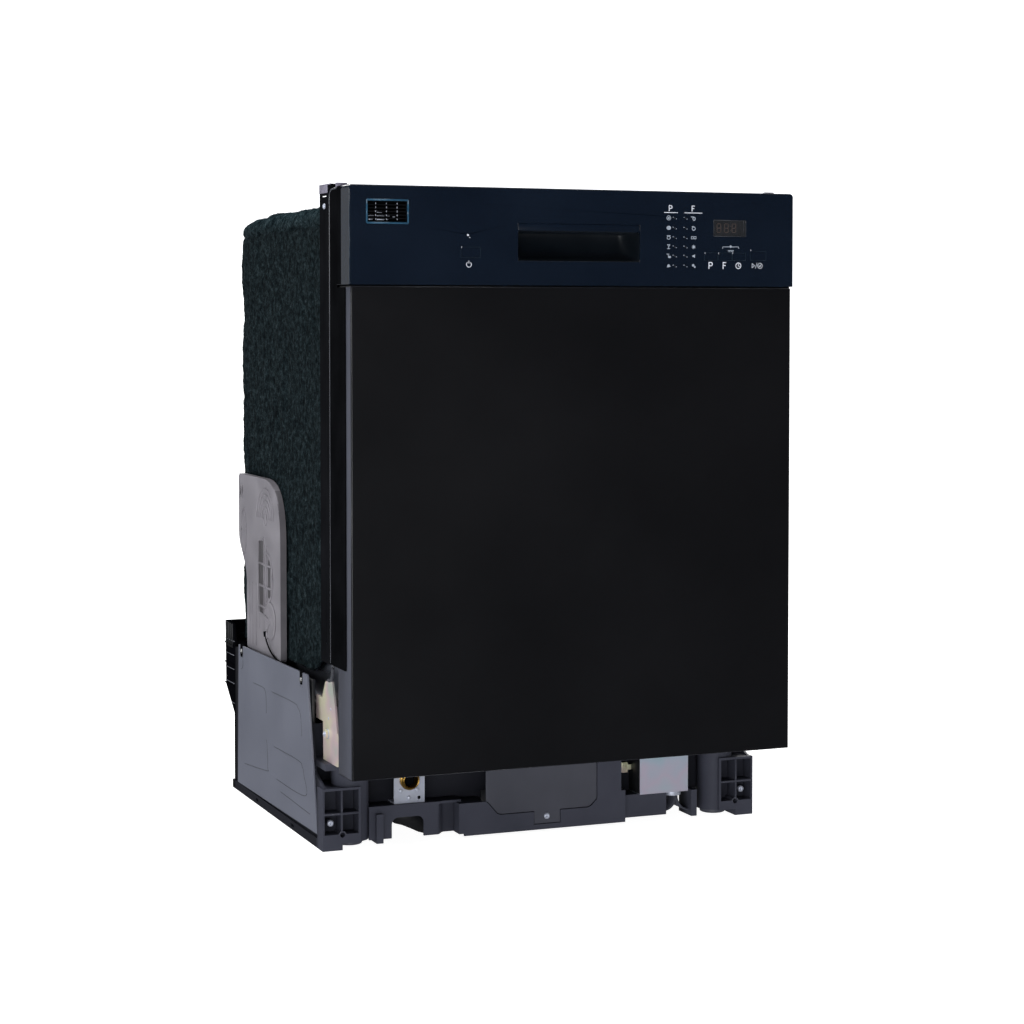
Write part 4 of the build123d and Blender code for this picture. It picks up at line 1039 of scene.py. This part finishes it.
@shown("air_breaker_relief", pale_plastic, "cabinet")
def breaker_relief(bm):
    """Raised channels: arch loops, the half-round chamber, the ladder, a disc, an oval and a label frame."""
    arch = (390, 392)
    for radius in (41, 33, 25, 16):
        add_ridge(bm, arc_points(arch, (radius, radius), 0, 180, 14), 1, 8)
    add_ridge(bm, arc_points(arch, (8, 9), steps=20, closed=True), 1, 8, closed=True)
    chamber = [(384, 346), *arc_points((384, 312), (30, 34), 90, 270, 16)]
    add_ridge(bm, chamber, 1.3, 8)
    for d in (396, 384):
        add_ridge(bm, [(d, 356), (d, 268)], 1, 8)
    for z, end in ((330, 362), (300, 362), (272, 386)):
        add_ridge(bm, [(420, z), (end, z - 1)], 1.3, 8)
    frames = (([(399, 262), (423, 262), (423, 360), (399, 366)], 0.7),
              ([(506, 412), (517, 412), (517, 430), (506, 430)], 0.6),
              ([(509, 416), (515, 416), (515, 426), (509, 426)], 0.5))
    for corners, share in frames:
        add_ridge(bm, rounded_outline([(d, z, 1) for d, z in corners], 3), share, 6, closed=True)
    add_ridge(bm, arc_points((500, 366), (13, 31), steps=28, closed=True), 0.8, 8, closed=True)
    for d, low in ((470, 214), (455, 214), (437, 214), (420, 240)):
        add_ridge(bm, [(d, low), (d, 300)], 0.35, 6)
    disc = [(25.5, 0), (25.5, 1.1), (24.2, 1.9), (21.5, 2.1), (20.6, 1.5), (6, 1.4), (4.5, 2.2), (1, 2.3)]
    add_turned(bm, disc, point(BREAKER_FACE, 366, 256), (-1, 0, 0), 40)
    for depth, z in ((389, 262), (380, 238)):
        add_tube(bm, [point(-294.6, 366, 256), point(-294.4, depth, z)], 0.9, 8)
    socket = [(5.5, 0), (5.5, 3.0), (4.6, 3.6), (2.4, 3.8)]
    add_turned(bm, socket, point(BREAKER_FACE, 379, 236), (-1, 0, 0), 20)


@shown("air_breaker_slot", shaded_plastic, "cabinet")
def breaker_slot(bm):
    """Shaded floors of the slot and of the chamber beside it."""
    add_rounded_box(bm, point(BREAKER_FACE - 0.15, 399.6, 262.8), point(BREAKER_FACE + 1, 422.4, 361), 0.4, 1)
    add_rounded_box(bm, point(BREAKER_FACE - 0.1, 366, 286), point(BREAKER_FACE + 1, 378, 338), 0.4, 1)


@shown("sensor_lead", black_rubber, "cabinet")
def sensor_lead(bm):
    """Short black lead clipped to the tank, from its sensor down behind the cover."""
    route = [(-296.0, 379, 237), (-296.4, 376, 230), (-295.2, 364, 219), (-294.8, 346, 212),
             (-295.0, 326, 209), (-291, 312, 206)]
    add_tube(bm, curve_points([point(*place) for place in route]), 1.1, 8)
    add_tube(bm, [point(-296.6, 380, 241), point(-296.2, 378.5, 234)], 2.6, 10)


# ---------------------------------------------------------------- side covers
# (depth, z) corners of a cover
BACK_TOP = Vector((506, 207))
FRONT_TOP = Vector((175, 212))
BACK_LOW = Vector((513, 12))
FRONT_LOW = Vector((133.5, 17))
# pressed lines as (share from the back edge to the front, share from the top down):
# parts of four rounded panels, one line below them and a short one at the back
PRESSED_LINES = [
    [(0.50, 0.225), (0.80, 0.225), (0.86, 0.25), (0.885, 0.30), (0.885, 0.42)],
    [(0.23, 0.226), (0.37, 0.224), (0.405, 0.245), (0.415, 0.29), (0.415, 0.39)],
    [(0.51, 0.593), (0.82, 0.593), (0.87, 0.62), (0.885, 0.67), (0.885, 0.80), (0.53, 0.807)],
    [(0.405, 0.575), (0.415, 0.62), (0.415, 0.76), (0.40, 0.79), (0.10, 0.835)],
    [(0.58, 0.875), (0.93, 0.90)],
    [(0.07, 0.03), (0.07, 0.14), (0.04, 0.17)],
]


def on_cover(side, u, v):
    """A place on a side cover: u from its back edge to its front edge, v from the top down."""
    return point(side * 299.72, *BACK_TOP.lerp(FRONT_TOP, u).lerp(BACK_LOW.lerp(FRONT_LOW, u), v))


def add_tabs(bm, side):
    """Black plastic tabs of the base that show in the notches of a cover."""
    for depth, z in ((490, 200.6), (200, 204.6)):
        corners = [(depth - 6, z - 9, 5), (depth + 6, z - 9, 5), (depth + 6, z + 9, 2), (depth - 6, z + 9, 2)]
        outline = rounded_outline(corners, 5)
        add_plate(bm, [point(side * 299.95, *place) for place in outline],
                  [point(side * 297.2, *place) for place in outline])


def add_pressings(bm, side):
    """Shallow pressed lines of a cover, painted darker as shade in the pressings."""
    for line in PRESSED_LINES:
        add_tube(bm, curve_points([on_cover(side, u, v) for u, v in line], 6), 0.42, 6)


for side, hand in ((-1, "left"), (1, "right")):
    shown("cover_pressings_" + hand, pressed_line_shade, "cabinet")(lambda bm: add_pressings(bm, side))
    shown("cover_tabs_" + hand, black_rubber, "cabinet")(lambda bm: add_tabs(bm, side))


# ---------------------------------------------------------------- racks
WIRE = 1.7
RIM_WIRE = 2.4
RAIL_WIRE = 1.9
TINE_WIRE = 1.5
TINE_PITCH = 27
LENGTHWISE = 15
CROSSWISE = 9


def bent_wire(corners, radius=9.0, steps=4):
    """A wire through (x, depth, z) corners, each bend rounded."""
    places = [point(*corner) for corner in corners]
    made = [places[0]]
    for before, here, after in zip(places, places[1:], places[2:]):
        start = here + (before - here).normalized() * radius * MM
        end = here + (after - here).normalized() * radius * MM
        for step in range(steps + 1):
            t = step / steps
            made.append((1 - t) ** 2 * start + 2 * t * (1 - t) * here + t * t * end)
    made.append(places[-1])
    return made


def add_rack(bm, half, front, back, floor_z, top_z, tine_rows, tine_height):
    """A basket of bent wires with a rim, a middle rail, and rows of tines."""
    half -= 2.2
    front += 2.2
    back -= 2.2
    rim_z = top_z - 2
    for i in range(LENGTHWISE):
        x = -half + 8 + (2 * half - 16) * i / (LENGTHWISE - 1)
        low_z = floor_z + 2
        corners = [(x, front, rim_z), (x, front, low_z), (x, back, low_z), (x, back, rim_z)]
        add_tube(bm, bent_wire(corners), WIRE, 6)
    for i in range(CROSSWISE):
        depth = front + 10 + (back - front - 20) * i / (CROSSWISE - 1)
        low_z = floor_z + 3
        corners = [(-half, depth, rim_z), (-half, depth, low_z), (half, depth, low_z), (half, depth, rim_z)]
        add_tube(bm, bent_wire(corners), WIRE, 6)
    ring = rounded_outline([(-half, front, 14), (half, front, 14), (half, back, 14), (-half, back, 14)], 5)
    for z, radius in ((top_z - 2.4, RIM_WIRE), ((floor_z + top_z) / 2, RAIL_WIRE)):
        add_tube(bm, [point(x, d, z) for x, d in ring], radius, 8, closed=True)
    for depth, low_x, high_x in tine_rows:
        count = int((high_x - low_x) / TINE_PITCH)
        for i in range(count + 1):
            x = low_x + (high_x - low_x) * i / count
            shape = ((-14, 4), (-4, tine_height), (4, tine_height), (14, 4))
            add_tube(bm, bent_wire([(x, depth + d, floor_z + z) for d, z in shape], 3.5, 3), TINE_WIRE, 6)


@shown("lower_rack_wires", coated_wire, "lower_rack")
def lower_rack(bm):
    """Lower basket with its wheel brackets and axles."""
    tines = [(150, -232, 48), (215, -232, 232), (280, -232, 232), (345, -232, 232), (410, -232, 232)]
    add_rack(bm, 252, 90, 500, 205, 345, tines, 66)
    for depth in (195, 320, 455):
        add_side_boxes(bm, 249.5, 253.0, (depth - 9, 164), (depth + 9, 212), 0.9, 2)
        for side in SIDES:
            add_tube(bm, [point(side * 251, depth, 173.5), point(side * 264, depth, 173.5)], 3, 14)


@shown("upper_rack_wires", coated_wire, "upper_rack")
def upper_rack(bm):
    """Upper basket with its rail runners, and the feed pipe and bearing of its spray arm."""
    tines = [(150, -228, -60), (215, -228, -60), (280, -228, -60), (345, -228, -60), (410, -228, -60),
             (180, 90, 226), (300, 90, 226), (400, 90, 226)]
    add_rack(bm, 246, 78, 490, 520, 650, tines, 42)
    for low, high in ((200, 225), (420, 445)):
        add_side_boxes(bm, 245, 258.5, (low, 561), (high, 585), 1.6, 2)
    add_tube(bm, [point(0, 297, 511), point(0, 501, 511)], 7, 20)
    add_turned(bm, [(14, 0), (14, 12), (12, 15), (9, 20)], point(0, 305, 501), (0, 0, 1), 28)


for rack, body in ((lower_rack, "lower_rack"), (upper_rack, "upper_rack")):
    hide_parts(body)


@shown("cutlery_lattice", grey_plastic, "lower_rack", smooth=False)
def cutlery(bm):
    """Lattice basket with three cells."""
    low_x, high_x = 70, 236
    low_d, high_d = 104, 176
    low_z, high_z = 210, 320
    bar = 1.3
    uprights = 20
    across = 8
    levels = [(low_z, 3), (240, 3), (270, 3), (300, 3), (high_z - 6, 6)]

    def stick(x0, x1, d0, d1, z0, z1):
        a = point(x0, d0, z0)
        b = point(x1, d1, z1)
        place = Matrix.Translation((a + b) / 2) @ Matrix.Diagonal((*(b - a), 1))
        bmesh.ops.create_cube(bm, size=1, matrix=place)

    for i in range(uprights + 1):
        x = low_x + (high_x - low_x - 2 * bar) * i / uprights + bar
        for d in (low_d, high_d - 2):
            stick(x - bar, x + bar, d, d + 2, low_z, high_z)
        stick(x - 0.9, x + 0.9, low_d, high_d, low_z, low_z + 2)
    for x in (low_x, low_x + (high_x - low_x) / 3, low_x + 2 * (high_x - low_x) / 3, high_x - 2):
        for i in range(across + 1):
            d = low_d + (high_d - low_d - 2 * bar) * i / across + bar
            stick(x, x + 2, d - bar, d + bar, low_z, high_z)
        for z, height in levels:
            stick(x, x + 2, low_d, high_d, z, z + height)
    for z, height in levels:
        for d in (low_d, high_d - 2):
            stick(low_x, high_x, d, d + 2, z, z + height)
    for i in range(5):
        d = low_d + (high_d - low_d - 3) * i / 4
        stick(low_x, high_x, d, d + 3, low_z, low_z + 2)


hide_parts("cutlery_basket")


# ---------------------------------------------------------------- springs, nozzles and small parts
@shown("door_spring_coils", spring_steel, "cabinet")
def springs(bm):
    """Coiled door springs with straight ends."""
    turns = 62
    steps = 12
    coil = 3.6
    for side in SIDES:
        path = []
        for i in range(turns * steps + 1):
            angle = 2 * math.pi * i / steps
            depth = 188 + 186 * i / (turns * steps)
            path.append(point(side * 281 + coil * math.cos(angle), depth, 171 + coil * math.sin(angle)))
        add_tube(bm, path, 0.9, 6)
        for start, end in ((160, 188), (374, 404)):
            add_tube(bm, [point(side * 281, start, 171), point(side * 281, end, 171)], 1.1, 8)


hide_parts("door_springs")


def add_nozzles(bm, length, top_z):
    """Four nozzles on each half of a spray arm."""
    for i in (-4, -3, -2, -1, 1, 2, 3, 4):
        place = point(i * length / 9.5, 305 + 4 * (i % 2), top_z)
        add_turned(bm, [(3.2, 0), (3.2, 0.7), (1.6, 1.0)], place, (0, 0, 1), 14)


shown("lower_nozzles", black_moulding, "lower_spray_arm")(lambda bm: add_nozzles(bm, 420, 192.9))
shown("upper_nozzles", black_moulding, "upper_spray_arm")(lambda bm: add_nozzles(bm, 400, 496.9))


@shown("hinge_bolts", zinc, "cabinet")
def hinge_bolts(bm):
    """Hexagon bolts on the hinge brackets, each with a washer and a stud, and two small heads above."""
    for side in SIDES:
        bolt = point(side * 286, 131, 143)
        out = (side, 0, 0)
        add_turned(bm, [(6.4, 0), (6.4, 0.8), (5.4, 0.9)], bolt, out, 24)
        add_turned(bm, [(4.8, 0.8), (4.9, 3.6), (4.2, 4.2)], bolt, out, 6)
        add_turned(bm, [(2.2, 4), (2.2, 5.6), (1.8, 6)], bolt, out, 16)
        for depth, z in ((118, 176), (127, 163)):
            add_turned(bm, [(1.9, 0), (1.9, 0.3), (1.2, 0.4)], point(side * 286, depth, z), out, 14)


@shown("trim_beads", bead_plastic_sheen, "cabinet")
def trim_beads(bm):
    """Rounded bead along each front trim, turning in at the top, and the curl at its lower end; the bead's
    pale grey is a painted highlight of the trim's lit edge, and the curl shares it.
    """
    for side in SIDES:
        x = side * 297.4
        bend = [(79, 800), (79, 807), (77.5, 814), (72, 818.5), (62, 819.6), (51, 819.6)]
        top_bend = curve_points([point(x, depth, z) for depth, z in bend], 5)
        add_tube(bm, [point(x, 79, 240), *top_bend], 1.3, 8)
        curl = [(295.6, 77, 240), (295.6, 77.5, 230), (295.6, 81, 222), (295.4, 88, 217), (295.2, 97, 216)]
        add_tube(bm, curve_points([point(side * out, depth, z) for out, depth, z in curl], 6), 2.2, 10)


@shown("collar_corners", dull_lavender, "cabinet")
def collar_corners(bm):
    """At each top corner of the collar: a pale corner that is a painted highlight, a painted bright line to
    the door, and a small plate.
    """
    add_side_boxes(bm, 296.7, 297.5, (89, 816), (122.6, 826.6), 0.3)
    for side in SIDES:
        add_tube(bm, [point(side * 297, 122, 826.2), point(side * 297, 76, 826.2)], 0.7, 8)
    add_side_boxes(bm, 284, 297.3, (51, 812), (56, 826.4), 0.3)


@shown("conduit_saddle", charcoal, "cabinet")
def conduit_saddle(bm):
    """Curved ribs of the base under the conduit clamp, in short straight pieces."""
    for centre, radius, start, end in (((175, 29), 16, -95, 0), ((214, 30), 19, 180, 262)):
        near = arc_points(centre, (radius, radius), start, end, 12)
        far = arc_points(centre, (radius + 2.4, radius + 2.4), start, end, 12)
        for i in range(12):
            outline = [near[i], far[i], far[i + 1], near[i + 1]]
            add_plate(bm, [point(x, 121, z) for x, z in outline], [point(x, 149, z) for x, z in outline])


@shown("inner_shade_sheets", black_moulding, "cabinet")
def inner_shade_sheets(bm):
    """Dark sheets that paint shade inside the base: behind hose arch and access cover, by the box and at both
    hinges.
    """
    arch = [(-204, 33), (-201, 25), (-196, 21.5), (-186, 18.5), (-175, 13.5), (-164, 8), (-154, 5),
            (-154, 33)]
    cover = [(-88, 9), (82, 9), (82, 60), (-88, 60)]
    for outline, depth, thickness in ((arch, 137, 2), (cover, 112.4, 1.2)):
        face, rear = add_plate(bm, [point(x, depth, z) for x, z in outline],
                               [point(x, depth + thickness, z) for x, z in outline])
        bm.faces.new(rear[::-1])
    add_rounded_box(bm, point(135.2, 112.6, 38), point(135.9, 146, 97), 0.2, 1)
    add_side_boxes(bm, 288, 293.5, (176, 96), (236, 205), 1)


@shown("box_clip", hinge_plate, "cabinet")
def box_clip(bm):
    """Spring clip and strap that hold the junction box to the base."""
    add_rounded_box(bm, point(121.8, 139.2, 62.4), point(130.2, 140.0, 76), 1.4, 3)
    add_rounded_box(bm, point(129.5, 138.6, 66), point(136.2, 139.4, 73), 0.4, 2)
    add_turned(bm, [(2.4, 0), (2.4, 0.5), (1.4, 0.7)], point(126, 139.2, 69), (0, -1, 0), 18)


@shown("corner_ribs", charcoal, "cabinet")
def corner_ribs(bm):
    """Rims of the drain rings under the corner cells, and the edges of the cells' ribs."""
    for side in SIDES:
        ring = arc_points((side * 274, 19), (4.4, 4.4), 0, 180, 10)
        add_tube(bm, [point(x, 108.2, z) for x, z in ring], 0.8, 8)
        for x0, z0, x1, z1 in ((253, 45.8, 297.4, 45.8), (274.9, 20, 274.9, 75)):
            add_tube(bm, [point(side * x0, 108.1, z0), point(side * x1, 108.1, z1)], 0.45, 6)


@shown("post_ribs", post_rib_highlight, "cabinet")
def post_ribs(bm):
    """Fine level ribs on the outer face of the rear posts, painted pale as highlights on their edges."""
    ribs = [(541, z, 590.5, z - 0.5) for z in (206, 186, 166, 146)]
    ribs += [(537, 118, 557.9, 118), (537, 92, 541, 92), (537, 64, 541, 64), (537, 38, 541, 38)]
    for side in SIDES:
        for start, start_z, end, end_z in ribs:
            add_tube(bm, [point(side * 296.3, start, start_z), point(side * 296.3, end, end_z)], 0.5, 6)


@shown("post_bars", black_moulding, "cabinet")
def post_bars(bm):
    """Upright bars at the tops of the rear posts."""
    for depth in (551, 561, 571, 581):
        add_side_boxes(bm, 295.5, 297.6, (depth - 1.6, 196), (depth + 1.6, 230), 0.5)


# ---------------------------------------------------------------- floor and light
floor_bm = bmesh.new()
bmesh.ops.create_circle(floor_bm, cap_ends=True, radius=60, segments=96)
floor_mesh = bpy.data.meshes.new("floor")
floor_bm.to_mesh(floor_mesh)
floor_bm.free()
floor = bpy.data.objects.new("floor", floor_mesh)
scene.collection.objects.link(floor)
floor.visible_glossy = False
floor_material, floor_shader = shader("floor_paper", rough=0.9, specular=0.1)
floor_shader.inputs["Emission Color"].default_value = (1, 1, 1, 1)
floor_shader.inputs["Emission Strength"].default_value = 0.96
paper = ramp(floor_material, noise_node(floor_material, 3, 3), [(0.3, grey(0.52)), (0.7, grey(0.56))])
floor_material.node_tree.links.new(paper, floor_shader.inputs["Base Color"])
floor_mesh.materials.append(floor_material)
floor.location.z = -0.0005

# the camera sees a white studio, while the machine is lit by a dim one
world = bpy.data.worlds.new("studio")
scene.world = world
world.use_nodes = True
background = world.node_tree.nodes["Background"]
background.inputs["Color"].default_value = (0.97, 0.98, 1.0, 1)
strength = add_node(world, "MapRange", To_Min=0.11, To_Max=1.6)
world.node_tree.links.new(add_node(world, "LightPath").outputs["Is Camera Ray"], strength.inputs["Value"])
world.node_tree.links.new(strength.outputs["Result"], background.inputs["Strength"])


def area_light(name, place, target, size, power, colour=(1, 1, 1)):
    """A soft rectangular light aimed at a point."""
    light = bpy.data.lights.new(name, "AREA")
    light.shape = "RECTANGLE"
    light.size = size[0]
    light.size_y = size[1]
    light.energy = power
    light.color = colour
    holder = bpy.data.objects.new(name, light)
    scene.collection.objects.link(holder)
    holder.location = place
    holder.rotation_euler = (Vector(target) - Vector(place)).to_track_quat("-Z", "Y").to_euler()


overhead = bpy.data.lights.new("overhead", "SUN")
overhead.energy = 3.2
overhead.angle = math.radians(60)
scene.collection.objects.link(bpy.data.objects.new("overhead", overhead))
area_light("left_soft", (-3.2, 0.3, 0.9), (0, 0, 0.40), (2.0, 1.6), 44, (0.94, 0.97, 1.0))
area_light("left_back", (-1.9, 3.6, 0.7), (-0.25, 0, 0.35), (1.4, 1.8), 2.0, (0.95, 0.98, 1.0))
area_light("front_low", (-1.6, -3.4, 0.25), (0, 0, 0.05), (2.6, 0.5), 52, (0.96, 0.98, 1.0))
area_light("back_soft", (1.4, 3.4, 1.6), (0, 0, 0.5), (2.6, 1.8), 50)
area_light("right_soft", (3.4, 0.4, 0.8), (0, 0, 0.4), (1.6, 1.6), 24)
scene.view_settings.view_transform = "Standard"
scene.view_settings.look = "None"
